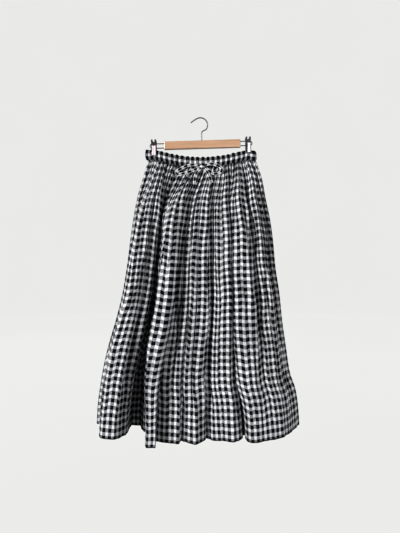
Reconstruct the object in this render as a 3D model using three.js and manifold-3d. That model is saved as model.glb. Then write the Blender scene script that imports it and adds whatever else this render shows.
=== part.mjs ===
// Gathered midi skirt with a drawstring bow, held by its waistband on a wooden clip hanger.
// Millimetres. +Z is up, the front of the skirt faces -Y, +X is to the right of whoever faces it.
// The origin is the inner crown of the hook, where the hanger is hung up.

import * as THREE from "three";
import { mergeVertices } from "three/addons/utils/BufferGeometryUtils.js";
import Module from "manifold-3d";

const wasm = await Module();
wasm.setup();

// Cloth
const CLOTH_WALL = 1.2;
const HEM_WALL = 1.8;
const HEM_TURN_UP = 14;
const SEAM_GAP = 0.3;
const HEM_HEIGHT = -927;
const HEM_LIFT_AT_SIDES = 13;
const HEM_HALF_WIDTH = 300;

// Fine gathers under the waistband, counted on each panel
const GATHERS = 32;
const COLUMNS_PER_GATHER = 4;
const GATHER_DEPTH = 3.1;
const GATHER_DROP = 0.3;

// Waistband, a casing that ruffles over its elastic
const BAND_WALL = 2;
const BAND_HEIGHT = 30;
const BAND_LEFT = -163;
const BAND_RIGHT = 169;
const BAND_TOP_AT_CLIPS = -94;
const BAND_SAG = 24.5;
const BAND_DROOP_LEFT = 2;
const BAND_DROOP_RIGHT = 6;
const BAND_HALF_DEPTH = 8;
const BAND_PINCHED_DEPTH = 2.4;
const PINCH_FLAT = 8;
const PINCH_REACH = 13;
const BAND_END_ROUNDING = 9;
const RUFFLES = 44;
const COLUMNS_PER_RUFFLE = 4;

// Drawstring, a flat tube of the same cloth
const TIE_WIDTH = 8.5;
const TIE_THICKNESS = 2.4;
const TIE_SIDES = 8;
const TIE_STEP = 7;
const KNOT = { x: 5.5, z: -147, halfWidth: 7.5, halfHeight: 5, halfDepth: 3.6 };

// Hanger
const HANGER_TILT = THREE.MathUtils.degToRad(-1.75);
const BAR = { x: 6, z: -79, length: 228, height: 24, thickness: 14, corner: 3, bevel: 1.5 };
const HOOK_WIRE = 3.6;
const HOOK_RADIUS = 21.8;
const RAIL_WIRE = 3;
const RAIL_SPACING = 13;
const RAIL_DEPTH_IN_BAR = 22;
const FIT = 0.3;
const CLIPS = {
  left: { x: -139, end: -152.5 },
  right: { x: 143, end: 156.5 },
};
const CLIP_WIDTH = 16;
const PLATE_WALL = 1;
const RIB_HEIGHT = 0.8;
const PAD = { width: 13, height: 9.5, thickness: 1.5, bottom: -27.7 };

// The side seams at each share of the drop, from the waist to the hem
const SIDE_ROWS = [
  { drop: 0, left: -156, right: 167 },
  { drop: 0.07, left: -172, right: 185 },
  { drop: 0.14, left: -188, right: 195 },
  { drop: 0.22, left: -200, right: 208 },
  { drop: 0.3, left: -209, right: 217 },
  { drop: 0.4, left: -219, right: 224 },
  { drop: 0.5, left: -232, right: 236 },
  { drop: 0.6, left: -251, right: 244 },
  { drop: 0.7, left: -274, right: 255 },
  { drop: 0.8, left: -292, right: 267 },
  { drop: 0.87, left: -301, right: 285 },
  { drop: 0.93, left: -307, right: 292 },
  { drop: 1, left: -310, right: 296 },
];

// The front's fold lines from the left side seam to the right one: where each meets the hem, and
// how late it opens on the way down (a large number keeps the line back near the waist)
const FRONT_LINES = [
  { x: -310, y: 0, opens: 0.75 },
  { x: -308, y: -5, opens: 0.75 },
  { x: -295, y: -9, opens: 0.75 },
  { x: -274, y: -98, opens: 0.7 },
  { x: -256, y: -106, opens: 0.7 },
  { x: -237, y: -104, opens: 0.75 },
  { x: -213, y: -60, opens: 0.8 },
  { x: -209, y: 6, opens: 0.9 },
  { x: -183, y: 6, opens: 0.9 },
  { x: -166, y: -35, opens: 0.8 },
  { x: -151, y: -52, opens: 0.8 },
  { x: -141, y: -144, opens: 0.7 },
  { x: -122, y: -144, opens: 0.7 },
  { x: -126, y: -101, opens: 0.8 },
  { x: -98, y: -108, opens: 0.9 },
  { x: -79, y: -113, opens: 1.15 },
  { x: -61, y: -116, opens: 0.9 },
  { x: -54, y: -94, opens: 0.75 },
  { x: -38, y: -106, opens: 0.7 },
  { x: -18, y: -115, opens: 0.65 },
  { x: 0, y: -97, opens: 0.75 },
  { x: 18, y: -76, opens: 0.85 },
  { x: 38, y: -92, opens: 0.8 },
  { x: 60, y: -90, opens: 0.75 },
  { x: 90, y: -103, opens: 0.65 },
  { x: 109, y: -91, opens: 0.8 },
  { x: 125, y: -65, opens: 1 },
  { x: 132, y: -104, opens: 0.75 },
  { x: 147, y: -116, opens: 0.65 },
  { x: 179, y: -106, opens: 0.75 },
  { x: 205, y: -100, opens: 1.25 },
  { x: 226, y: -92, opens: 0.75 },
  { x: 249, y: -70, opens: 0.65 },
  { x: 272, y: -41, opens: 0.75 },
  { x: 289, y: -14, opens: 0.8 },
  { x: 295, y: -6, opens: 0.75 },
  { x: 296, y: 0, opens: 0.75 },
];

// The back hangs close to the wall, and its folds go inwards: centre, half width and depth at the hem
const BACK_PLANE = 24;
const BACK_FOLDS = [
  { x: -252, halfWidth: 16, depth: 22, lean: 4, opens: 0.8 },
  { x: -150, halfWidth: 15, depth: 37, lean: -6, opens: 0.7 },
  { x: -92, halfWidth: 19, depth: 40, lean: 8, opens: 0.9 },
  { x: -31, halfWidth: 12, depth: 25, lean: -3, opens: 0.65 },
  { x: 26, halfWidth: 18, depth: 41, lean: 7, opens: 0.8 },
  { x: 98, halfWidth: 14, depth: 33, lean: -4, opens: 1.1 },
  { x: 142, halfWidth: 16, depth: 38, lean: -6, opens: 0.7 },
  { x: 208, halfWidth: 17, depth: 36, lean: 5, opens: 0.85 },
  { x: 260, halfWidth: 12, depth: 18, lean: 3, opens: 0.8 },
];

// Rows of each panel's mesh as shares of the drop; past DENSE_ROWS only every second column is kept
const PANEL_ROWS = [0, 0.04, 0.1, 0.18, 0.28, 0.4, 0.54, 0.68, 0.82, 0.92];
const DENSE_ROWS = 5;

// Points of the bow as seen from the front; each lies on the front panel, lifted clear of it
const LEFT_LOOP = [
  { x: -2.6, z: -145, lift: 5 },
  { x: -19, z: -143.5, lift: 5.6 },
  { x: -35, z: -145, lift: 6 },
  { x: -50, z: -151, lift: 5.6 },
  { x: -64, z: -158.5, lift: 4.4 },
  { x: -72, z: -165, lift: 3.2 },
  { x: -67, z: -171, lift: 2.6 },
  { x: -55, z: -170.5, lift: 2.6 },
  { x: -40, z: -168, lift: 2.4 },
  { x: -24, z: -162, lift: 2.1 },
  { x: -10, z: -153.5, lift: 1.9 },
  { x: -2.8, z: -149, lift: 1.7 },
];
const RIGHT_LOOP = [
  { x: 13.6, z: -145, lift: 5 },
  { x: 28, z: -140.5, lift: 5.6 },
  { x: 42, z: -142, lift: 5.8 },
  { x: 55, z: -147.5, lift: 5 },
  { x: 63, z: -155, lift: 4 },
  { x: 62, z: -163, lift: 3.2 },
  { x: 53, z: -168.5, lift: 2.6 },
  { x: 40, z: -169.5, lift: 2.6 },
  { x: 27, z: -163, lift: 2.2 },
  { x: 19, z: -154.5, lift: 1.9 },
  { x: 13.9, z: -149.5, lift: 1.7 },
];
const LEFT_TAIL = [
  { x: 2.4, z: -152.2, lift: 5 },
  { x: -5.5, z: -160, lift: 5.6 },
  { x: -12, z: -169, lift: 5 },
  { x: -15.5, z: -180, lift: 2.8 },
  { x: -17, z: -191, lift: 2.4 },
  { x: -16.5, z: -204, lift: 2.4 },
];
const RIGHT_TAIL = [
  { x: 8.8, z: -152.3, lift: 5 },
  { x: 16, z: -160, lift: 5.8 },
  { x: 21.5, z: -169, lift: 5.4 },
  { x: 26, z: -180, lift: 3.2 },
  { x: 31, z: -191, lift: 2.8 },
  { x: 37, z: -201, lift: 2.4 },
];

const skirt = new THREE.Group();

function add(name, geometry, finish, parent = skirt) {
  const mesh = new THREE.Mesh(geometry, new THREE.MeshStandardMaterial(finish));
  mesh.name = name;
  parent.add(mesh);
  return mesh;
}

const lerp = THREE.MathUtils.lerp;
const clamp = THREE.MathUtils.clamp;

// Slopes of a smooth curve through the values that never swings past them
function curveSlopes(knots, values) {
  const last = knots.length - 1;
  const rise = (k) => (values[k + 1] - values[k]) / (knots[k + 1] - knots[k]);
  return knots.map((_, k) => {
    if (k === 0) return rise(0);
    if (k === last) return rise(last - 1);
    const before = rise(k - 1);
    const after = rise(k);
    return before * after > 0 ? (2 * before * after) / (before + after) : 0;
  });
}

// Value at one place of the smooth curve through the knots
function curveAt(knots, values, slopes, place) {
  let k = 0;
  while (k < knots.length - 2 && place > knots[k + 1]) k += 1;
  const span = knots[k + 1] - knots[k];
  const s = clamp((place - knots[k]) / span, 0, 1);
  const start = (1 + 2 * s) * (1 - s) * (1 - s) * values[k] + s * (1 - s) * (1 - s) * span * slopes[k];
  const end = s * s * (3 - 2 * s) * values[k + 1] - s * s * (1 - s) * span * slopes[k + 1];
  return start + end;
}

function curve(knots, values) {
  const slopes = curveSlopes(knots, values);
  return (place) => curveAt(knots, values, slopes, place);
}

const sideDrops = SIDE_ROWS.map((row) => row.drop);
const leftSideAt = curve(sideDrops, SIDE_ROWS.map((row) => row.left));
const rightSideAt = curve(sideDrops, SIDE_ROWS.map((row) => row.right));

// Height of the waistband's top edge: it sags between the clips and droops past them
function bandTopAt(x) {
  const middle = (CLIPS.left.x + CLIPS.right.x) / 2;
  const half = (CLIPS.right.x - CLIPS.left.x) / 2;
  const across = (x - middle) / half;
  if (across < -1) return BAND_TOP_AT_CLIPS - BAND_DROOP_LEFT * (CLIPS.left.x - x) / (CLIPS.left.x - BAND_LEFT);
  if (across > 1) return BAND_TOP_AT_CLIPS - BAND_DROOP_RIGHT * (x - CLIPS.right.x) / (BAND_RIGHT - CLIPS.right.x);
  return BAND_TOP_AT_CLIPS - BAND_SAG * (1 - across * across);
}

// How far the clips press the waist together at x, from 0 to 1
function pinchAt(x) {
  const away = Math.min(Math.abs(x - CLIPS.left.x), Math.abs(x - CLIPS.right.x));
  return Math.exp(-((Math.max(0, away - PINCH_FLAT) / PINCH_REACH) ** 2));
}

function waistHalfDepthAt(x) {
  return lerp(BAND_HALF_DEPTH, BAND_PINCHED_DEPTH, pinchAt(x));
}

function hemHeightAt(x) {
  return HEM_HEIGHT + HEM_LIFT_AT_SIDES * (x / HEM_HALF_WIDTH) ** 2;
}

// The back's fold lines, four for each fold that goes inwards
function backLines() {
  const first = SIDE_ROWS[SIDE_ROWS.length - 1].left;
  const last = SIDE_ROWS[SIDE_ROWS.length - 1].right;
  const lines = [
    { x: first, y: 0, opens: 0.75 },
    { x: first + 2, y: 7, opens: 0.75 },
    { x: first + 15, y: BACK_PLANE - 6, opens: 0.75 },
  ];
  for (const fold of BACK_FOLDS) {
    const bottom = BACK_PLANE - fold.depth;
    lines.push({ x: fold.x - fold.halfWidth, y: BACK_PLANE, opens: 0.75 });
    lines.push({ x: fold.x - fold.halfWidth * 0.4 + fold.lean, y: bottom + 1.5, opens: fold.opens });
    lines.push({ x: fold.x + fold.halfWidth * 0.4 + fold.lean, y: bottom, opens: fold.opens });
    lines.push({ x: fold.x + fold.halfWidth, y: BACK_PLANE - 1, opens: 0.75 });
  }
  lines.push({ x: last - 12, y: BACK_PLANE - 8, opens: 0.75 });
  lines.push({ x: last - 2, y: 7, opens: 0.75 });
  lines.push({ x: last, y: 0, opens: 0.75 });
  return lines;
}

// A panel's fold lines with the share of its cloth that lies to the left of each along the hem
function makePanel(lines, facing) {
  const lengths = [0];
  for (let k = 1; k < lines.length; k += 1) {
    const step = Math.hypot(lines[k].x - lines[k - 1].x, lines[k].y - lines[k - 1].y);
    lengths.push(lengths[k - 1] + step);
  }
  const width = lengths[lengths.length - 1];
  const knots = lengths.map((length) => length / width);
  const left = lines[0].x;
  const right = lines[lines.length - 1].x;
  const hemShare = curve(knots, lines.map((line) => (line.x - left) / (right - left)));
  return { lines, facing, knots, hemShare };
}

// Left to right place along a panel at one share of the cloth and one share of the drop.
// The cloth leaves the waist evenly gathered and soon takes the spacing that its folds have.
function acrossAt(panel, cloth, drop) {
  const settled = 1 - Math.exp(-drop / 0.1);
  const wander = 0.005 * Math.sin(Math.PI * drop) * Math.sin(17 * cloth + 5 * drop);
  const share = lerp(cloth, panel.hemShare(cloth), settled) + wander * Math.sin(Math.PI * cloth);
  return lerp(leftSideAt(drop), rightSideAt(drop), share);
}

// Front to back place of every fold line at one share of the drop
function foldDepths(panel, drop) {
  const last = panel.lines.length - 1;
  return panel.lines.map((line, k) => {
    const waistX = lerp(SIDE_ROWS[0].left, SIDE_ROWS[0].right, panel.knots[k]);
    const onSeam = k === 0 || k === last;
    const waistY = onSeam ? 0 : panel.facing * waistHalfDepthAt(waistX);
    return lerp(waistY, line.y, drop ** line.opens);
  });
}

// How far the fine gathers stand out at one place: uneven across, and fading on the way down
function gatherDepthAt(place, drop) {
  const uneven = 0.8 + 0.2 * Math.sin(33 * place + 1.3);
  const reach = GATHER_DROP * (1 + 0.35 * Math.sin(26 * place + 0.5) + 0.2 * Math.sin(61 * place));
  const fade = Math.exp(-((drop / reach) ** 1.5));
  const atSeams = THREE.MathUtils.smoothstep(Math.min(place, 1 - place), 0, 0.03);
  const waistX = lerp(SIDE_ROWS[0].left, SIDE_ROWS[0].right, place);
  const atClips = 1 - 0.6 * pinchAt(waistX) * Math.exp(-drop / 0.05);
  return GATHER_DEPTH * uneven * fade * atSeams * atClips * Math.sin(2 * Math.PI * GATHERS * place);
}

// Share of the cloth at an evenly counted place: some gathers hold more cloth than others
function clothShareAt(place) {
  return place + 0.008 * Math.sin(4 * Math.PI * place) + 0.004 * Math.sin(10 * Math.PI * place);
}

// Outward direction at a point of a row: square to the line that halves the turn between its neighbours
function outwardAt(facing, before, point, after) {
  const along = [0, 0];
  for (const [from, to] of [[before, point], [point, after]]) {
    const length = Math.hypot(to.x - from.x, to.y - from.y);
    along[0] += (to.x - from.x) / length;
    along[1] += (to.y - from.y) / length;
  }
  const length = Math.hypot(along[0], along[1]);
  return [-facing * along[1] / length, facing * along[0] / length];
}

// A row of points through the middle of a panel's wall, with the outward direction of each.
// Only every stride-th point is used, so the directions come from those.
function panelRow(panel, drop, columns, stride) {
  const depth = curve(panel.knots, foldDepths(panel, drop));
  const row = [];
  for (let i = 0; i <= columns; i += 1) {
    const place = i / columns;
    const cloth = clothShareAt(place);
    const waistZ = bandTopAt(acrossAt(panel, cloth, 0)) - BAND_HEIGHT - SEAM_GAP;
    const hemZ = hemHeightAt(acrossAt(panel, cloth, 1));
    row.push({
      x: acrossAt(panel, cloth, drop),
      y: depth(cloth),
      z: lerp(waistZ, hemZ, drop),
      gather: gatherDepthAt(place, drop),
    });
  }
  return row.map((point, i) => {
    if (i === 0) return { ...point, y: panel.facing * SEAM_GAP / 2, outward: [-1, 0] };
    if (i === columns) return { ...point, y: panel.facing * SEAM_GAP / 2, outward: [1, 0] };
    const before = row[Math.max(0, i - stride)];
    const after = row[Math.min(columns, i + stride)];
    return { ...point, outward: outwardAt(panel.facing, before, point, after) };
  });
}

// Closes a wall between its outer and inner points; rows may thin out to every second column
function wallGeometry(outer, inner, strides, isRing) {
  const columns = isRing ? outer[0].length : outer[0].length - 1;
  const width = outer[0].length;
  const points = [...outer.flat(), ...inner.flat()];
  const innerStart = outer.length * width;
  const faces = [];
  const index = (side, row, column) => side * innerStart + row * width + (column % width);
  const quad = (a, b, c, d) => faces.push(a, b, c, a, c, d);
  for (let side = 0; side < 2; side += 1) {
    const turn = (a, b, c) => (side === 0 ? faces.push(a, b, c) : faces.push(a, c, b));
    for (let row = 0; row < outer.length - 1; row += 1) {
      const step = strides[row + 1];
      for (let i = 0; i < columns; i += step) {
        const top = index(side, row, i);
        const topEnd = index(side, row, i + step);
        const low = index(side, row + 1, i);
        const lowEnd = index(side, row + 1, i + step);
        if (strides[row] === step) {
          turn(top, low, lowEnd);
          turn(top, lowEnd, topEnd);
        } else {
          const topMiddle = index(side, row, i + 1);
          turn(top, low, topMiddle);
          turn(topMiddle, low, lowEnd);
          turn(topMiddle, lowEnd, topEnd);
        }
      }
    }
  }
  const lastRow = outer.length - 1;
  for (let i = 0; i < columns; i += strides[0]) {
    const next = i + strides[0];
    quad(index(0, 0, i), index(0, 0, next), index(1, 0, next), index(1, 0, i));
  }
  for (let i = 0; i < columns; i += strides[lastRow]) {
    const next = i + strides[lastRow];
    quad(index(0, lastRow, next), index(0, lastRow, i), index(1, lastRow, i), index(1, lastRow, next));
  }
  if (!isRing) {
    for (let row = 0; row < lastRow; row += 1) {
      quad(index(0, row, 0), index(1, row, 0), index(1, row + 1, 0), index(0, row + 1, 0));
      quad(index(1, row, columns), index(0, row, columns), index(0, row + 1, columns), index(1, row + 1, columns));
    }
  }
  return usedPointsOnly(points, faces);
}

// Drops the points that no face uses, and turns the faces so that they point out of the body
function usedPointsOnly(points, faces) {
  const place = new Map();
  const kept = [];
  const used = faces.map((face) => {
    if (!place.has(face)) {
      place.set(face, kept.length / 3);
      kept.push(points[face].x, points[face].y, points[face].z);
    }
    return place.get(face);
  });
  const at = (i) => new THREE.Vector3(kept[3 * i], kept[3 * i + 1], kept[3 * i + 2]);
  let volume = 0;
  for (let f = 0; f < used.length; f += 3) {
    volume += at(used[f]).dot(at(used[f + 1]).cross(at(used[f + 2])));
  }
  if (volume < 0) {
    for (let f = 0; f < used.length; f += 3) [used[f + 1], used[f + 2]] = [used[f + 2], used[f + 1]];
  }
  const geometry = new THREE.BufferGeometry();
  geometry.setAttribute("position", new THREE.Float32BufferAttribute(kept, 3));
  geometry.setIndex(used);
  return geometry;
}

function movedOut(point, distance) {
  const { x, y, z, outward } = point;
  return { x: x + outward[0] * distance, y: y + outward[1] * distance, z };
}

// A panel: a thin wall through all its rows, thicker where the hem is turned up
function panelGeometry(panel) {
  const drop = bandTopAt(0) - BAND_HEIGHT - HEM_HEIGHT;
  const hemStart = 1 - HEM_TURN_UP / drop;
  const rows = [...PANEL_ROWS, hemStart - 0.003, hemStart, 1];
  const columns = GATHERS * COLUMNS_PER_GATHER;
  const strides = rows.map((_, row) => (row < DENSE_ROWS ? 1 : 2));
  const outer = [];
  const inner = [];
  rows.forEach((share, k) => {
    const wall = share >= hemStart ? HEM_WALL : CLOTH_WALL;
    const row = panelRow(panel, share, columns, strides[k]);
    outer.push(row.map((point) => movedOut(point, point.gather + CLOTH_WALL / 2)));
    inner.push(row.map((point) => movedOut(point, point.gather + CLOTH_WALL / 2 - wall)));
  });
  return wallGeometry(outer, inner, strides, false);
}

// The waistband's ring at one height, as equal steps along its middle line
function bandRing(scale, columns) {
  const middle = (BAND_LEFT + BAND_RIGHT) / 2;
  const half = scale * (BAND_RIGHT - BAND_LEFT) / 2;
  const fine = 720;
  const line = [];
  for (let i = 0; i <= fine; i += 1) {
    const turn = (2 * Math.PI * i) / fine;
    const x = middle - half * Math.cos(turn);
    const fromEnd = Math.min(1, (half - Math.abs(x - middle)) / BAND_END_ROUNDING);
    const rounding = Math.sqrt(1 - (1 - fromEnd) ** 2);
    line.push([x, -Math.sign(Math.sin(turn)) * waistHalfDepthAt(x) * rounding]);
  }
  const lengths = [0];
  for (let i = 1; i <= fine; i += 1) {
    lengths.push(lengths[i - 1] + Math.hypot(line[i][0] - line[i - 1][0], line[i][1] - line[i - 1][1]));
  }
  const total = lengths[fine];
  const pointAt = (length) => {
    const wanted = ((length % total) + total) % total;
    let i = 1;
    while (i < fine && lengths[i] < wanted) i += 1;
    const s = (wanted - lengths[i - 1]) / (lengths[i] - lengths[i - 1]);
    return [lerp(line[i - 1][0], line[i][0], s), lerp(line[i - 1][1], line[i][1], s)];
  };
  const ring = [];
  for (let c = 0; c < columns; c += 1) {
    const length = (total * c) / columns;
    const [x, y] = pointAt(length);
    const before = pointAt(length - 1);
    const after = pointAt(length + 1);
    const step = Math.hypot(after[0] - before[0], after[1] - before[1]);
    ring.push({ x, y, outward: [(after[1] - before[1]) / step, -(after[0] - before[0]) / step] });
  }
  return ring;
}

function waistbandGeometry() {
  const rows = [
    { height: 0, scale: 0.985, ruffle: 2.5 },
    { height: 0.5, scale: 1, ruffle: 1.5 },
    { height: 1, scale: 0.972, ruffle: 2.1 },
  ];
  const columns = RUFFLES * COLUMNS_PER_RUFFLE;
  const outer = [];
  const inner = [];
  for (const row of rows) {
    const ring = bandRing(row.scale, columns).map((point, c) => {
      const wave = Math.sin((2 * Math.PI * c) / COLUMNS_PER_RUFFLE);
      const uneven = 0.8 + 0.2 * Math.sin(c * 0.37);
      const ruffle = row.ruffle * wave * uneven * (1 - pinchAt(point.x));
      return { ...point, z: bandTopAt(point.x) - row.height * BAND_HEIGHT, ruffle };
    });
    outer.push(ring.map((point) => movedOut(point, point.ruffle + BAND_WALL / 2)));
    inner.push(ring.map((point) => movedOut(point, point.ruffle - BAND_WALL / 2)));
  }
  return wallGeometry(outer, inner, rows.map(() => 1), true);
}

// Front to back place of the front panel's smooth face where it is seen at x and z
function frontFaceAt(panel, x, z) {
  const top = bandTopAt(x) - BAND_HEIGHT;
  const drop = clamp((z - top) / (hemHeightAt(x) - top), 0, 1);
  let low = 0;
  let high = 1;
  for (let i = 0; i < 30; i += 1) {
    const middle = (low + high) / 2;
    if (acrossAt(panel, middle, drop) < x) low = middle;
    else high = middle;
  }
  return curve(panel.knots, foldDepths(panel, drop))(low) - GATHER_DEPTH - CLOTH_WALL / 2;
}

// A flat stretch of the drawstring along its points, with its broad side towards the viewer
function tieGeometry(panel, points) {
  const path = new THREE.CatmullRomCurve3(
    points.map(({ x, z, lift }) => new THREE.Vector3(x, frontFaceAt(panel, x, z) - lift, z)),
    false,
    "centripetal",
  );
  const steps = Math.ceil(path.getLength() / TIE_STEP);
  const broad = new THREE.Vector3();
  const thin = new THREE.Vector3();
  const rings = [];
  for (let i = 0; i <= steps; i += 1) {
    const centre = path.getPointAt(i / steps);
    const along = path.getTangentAt(i / steps);
    broad.crossVectors(along, new THREE.Vector3(0, 1, 0)).normalize();
    thin.crossVectors(broad, along).normalize();
    const ring = [];
    for (let side = 0; side < TIE_SIDES; side += 1) {
      const angle = (2 * Math.PI * side) / TIE_SIDES;
      const point = centre.clone();
      point.addScaledVector(broad, (TIE_WIDTH / 2) * Math.cos(angle));
      point.addScaledVector(thin, (TIE_THICKNESS / 2) * Math.sin(angle));
      ring.push(point);
    }
    rings.push(ring);
  }
  return sweptGeometry(rings);
}

// Closes a tube through its rings, with a flat fan at each end
function sweptGeometry(rings) {
  const sides = rings[0].length;
  const points = rings.flat();
  const faces = [];
  for (let r = 0; r < rings.length - 1; r += 1) {
    for (let side = 0; side < sides; side += 1) {
      const a = r * sides + side;
      const b = r * sides + ((side + 1) % sides);
      faces.push(a, b, b + sides, a, b + sides, a + sides);
    }
  }
  const end = (rings.length - 1) * sides;
  for (let side = 1; side < sides - 1; side += 1) {
    faces.push(0, side + 1, side);
    faces.push(end, end + side, end + side + 1);
  }
  return usedPointsOnly(points, faces);
}

// The knot: a rounded, slightly waisted lump of wrapped tape
function knotGeometry(panel) {
  const rings = [];
  const slices = 6;
  const y = frontFaceAt(panel, KNOT.x, KNOT.z) - KNOT.halfDepth + 0.3;
  for (let i = 0; i <= slices; i += 1) {
    const s = lerp(-1, 1, i / slices);
    const size = Math.sqrt(1 - 0.8 * s * s);
    const ring = [];
    for (let side = 0; side < TIE_SIDES; side += 1) {
      const angle = (2 * Math.PI * side) / TIE_SIDES;
      const px = KNOT.x + KNOT.halfWidth * s;
      const pz = KNOT.z + KNOT.halfHeight * size * Math.cos(angle);
      ring.push(new THREE.Vector3(px, y + KNOT.halfDepth * size * Math.sin(angle), pz));
    }
    rings.push(ring);
  }
  return sweptGeometry(rings);
}

function toSolid(geometry) {
  const bare = geometry.clone();
  bare.deleteAttribute("normal");
  bare.deleteAttribute("uv");
  const merged = mergeVertices(bare, 1e-4);
  return new wasm.Manifold(new wasm.Mesh({
    numProp: 3,
    vertProperties: new Float32Array(merged.attributes.position.array),
    triVerts: new Uint32Array(merged.index.array),
  }));
}

function toGeometry(solid) {
  const mesh = solid.getMesh();
  const geometry = new THREE.BufferGeometry();
  geometry.setAttribute("position", new THREE.BufferAttribute(mesh.vertProperties, 3));
  geometry.setIndex(new THREE.BufferAttribute(mesh.triVerts, 1));
  return geometry;
}

function cylinder(radius, length, sides, axis) {
  const geometry = new THREE.CylinderGeometry(radius, radius, length, sides);
  if (axis === "x") geometry.rotateZ(Math.PI / 2);
  if (axis === "z") geometry.rotateX(Math.PI / 2);
  return geometry;
}

// A shape drawn in front-to-back and up, pushed out along X and centred on it
function pushedAlongX(shape, length, options = {}) {
  const geometry = new THREE.ExtrudeGeometry(shape, { depth: length, bevelEnabled: false, ...options });
  geometry.translate(0, 0, -length / 2);
  const toX = new THREE.Matrix4().makeBasis(
    new THREE.Vector3(0, 1, 0),
    new THREE.Vector3(0, 0, 1),
    new THREE.Vector3(1, 0, 0),
  );
  return geometry.applyMatrix4(toX);
}

function roundedRectangle(width, height, radius, segments) {
  const shape = new THREE.Shape();
  for (let corner = 0; corner < 4; corner += 1) {
    const sideways = corner === 0 || corner === 3 ? 1 : -1;
    const upwards = corner < 2 ? 1 : -1;
    for (let i = 0; i <= segments; i += 1) {
      const angle = (Math.PI / 2) * (corner + i / segments);
      const px = sideways * (width / 2 - radius) + radius * Math.cos(angle);
      const py = upwards * (height / 2 - radius) + radius * Math.sin(angle);
      if (corner === 0 && i === 0) shape.moveTo(px, py);
      else shape.lineTo(px, py);
    }
  }
  return shape;
}

// A wire along its points, as a round tube with closed ends
function wireGeometry(points, diameter, sides, steps) {
  const section = new THREE.Shape();
  for (let side = 0; side < sides; side += 1) {
    const angle = (2 * Math.PI * side) / sides;
    const px = (diameter / 2) * Math.cos(angle);
    const py = (diameter / 2) * Math.sin(angle);
    if (side === 0) section.moveTo(px, py);
    else section.lineTo(px, py);
  }
  const path = new THREE.CatmullRomCurve3(points, false, "centripetal");
  return new THREE.ExtrudeGeometry(section, { extrudePath: path, steps, bevelEnabled: false });
}

// The bar's own frame: its middle is the origin and the whole hanger leans with it
const hanger = new THREE.Group();
hanger.position.set(BAR.x, 0, BAR.z);
hanger.rotation.y = HANGER_TILT;
skirt.add(hanger);

const STEM_X = 4;
const STEM_BOTTOM = BAR.z - 4;

// The bar: rounded wood, drilled for the hook's stem and for the four rail ends
function barGeometry() {
  const section = roundedRectangle(
    BAR.thickness - 2 * BAR.bevel,
    BAR.height - 2 * BAR.bevel,
    BAR.corner - BAR.bevel,
    2,
  );
  const bevel = {
    bevelEnabled: true,
    bevelThickness: BAR.bevel,
    bevelSize: BAR.bevel,
    bevelSegments: 2,
    curveSegments: 2,
  };
  let bar = toSolid(pushedAlongX(section, BAR.length - 2 * BAR.bevel, bevel));
  const stemHole = cylinder(HOOK_WIRE / 2 + FIT, BAR.height, 12, "z");
  stemHole.translate(0, 0, BAR.height / 2 - FIT);
  stemHole.translate(STEM_X - BAR.x, 0, STEM_BOTTOM - BAR.z);
  stemHole.rotateY(-HANGER_TILT);
  bar = bar.subtract(toSolid(stemHole));
  for (const end of [-1, 1]) {
    for (const level of [-1, 1]) {
      const hole = cylinder(RAIL_WIRE / 2 + FIT, 2 * (RAIL_DEPTH_IN_BAR + FIT), 12, "x");
      hole.translate(end * BAR.length / 2, 0, level * RAIL_SPACING / 2);
      bar = bar.subtract(toSolid(hole));
    }
  }
  return toGeometry(bar);
}

// The hook: up out of the bar, a bend to the right, over the crown and down to the open tip
function hookGeometry() {
  const points = [
    [STEM_X, STEM_BOTTOM],
    [STEM_X, -62],
    [STEM_X - 0.4, -48],
    [STEM_X + 1.2, -40],
  ];
  const crownCentre = HOOK_WIRE / 2 - HOOK_RADIUS;
  const arcStart = -38;
  const arcEnd = 98;
  const arcSteps = 8;
  for (let i = 0; i <= arcSteps; i += 1) {
    const angle = THREE.MathUtils.degToRad(lerp(arcStart, arcEnd, i / arcSteps));
    points.push([HOOK_RADIUS * Math.cos(angle), crownCentre + HOOK_RADIUS * Math.sin(angle)]);
  }
  points.push([-12, -1.8]);
  points.push([-20, -7]);
  points.push([-28.5, -13.2]);
  return wireGeometry(points.map(([x, z]) => new THREE.Vector3(x, 0, z)), HOOK_WIRE, 8, 32);
}

// A rail: one wire that leaves the bar, turns round past the clip and comes back
function railGeometry(clip) {
  const side = Math.sign(clip.x);
  const end = clip.end - BAR.x;
  const turnX = end - side * (RAIL_SPACING / 2 + RAIL_WIRE / 2);
  const startX = side * (BAR.length / 2 - RAIL_DEPTH_IN_BAR);
  const points = [];
  for (const s of [0, 0.5]) points.push(new THREE.Vector3(lerp(startX, turnX, s), 0, RAIL_SPACING / 2));
  const turns = 8;
  for (let i = 0; i <= turns; i += 1) {
    const angle = Math.PI * (0.5 - i / turns);
    const x = turnX + side * (RAIL_SPACING / 2) * Math.cos(angle);
    points.push(new THREE.Vector3(x, 0, (RAIL_SPACING / 2) * Math.sin(angle)));
  }
  for (const s of [0.5, 0]) points.push(new THREE.Vector3(lerp(startX, turnX, s), 0, -RAIL_SPACING / 2));
  return wireGeometry(points, RAIL_WIRE, 8, 26);
}

// Middle line of a clip plate seen from the side, from the ear down to the jaw
const PLATE_LINE = [
  { out: 8.6, z: 17.5 },
  { out: 7.6, z: 12 },
  { out: 5, z: 7 },
  { out: 3.9, z: 3 },
  { out: 3.9, z: -5 },
  { out: 5.4, z: -11 },
  { out: 6.1, z: -16 },
  { out: 6, z: -28 },
];

function plateProfile(facing, extra) {
  const shape = new THREE.Shape();
  const outside = PLATE_LINE.map(({ out, z }) => [facing * (out + PLATE_WALL / 2 + extra), z]);
  const inside = PLATE_LINE.map(({ out, z }) => [facing * (out - PLATE_WALL / 2), z]).reverse();
  [...outside, ...inside].forEach(([y, z], i) => (i === 0 ? shape.moveTo(y, z) : shape.lineTo(y, z)));
  return shape;
}

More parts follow.
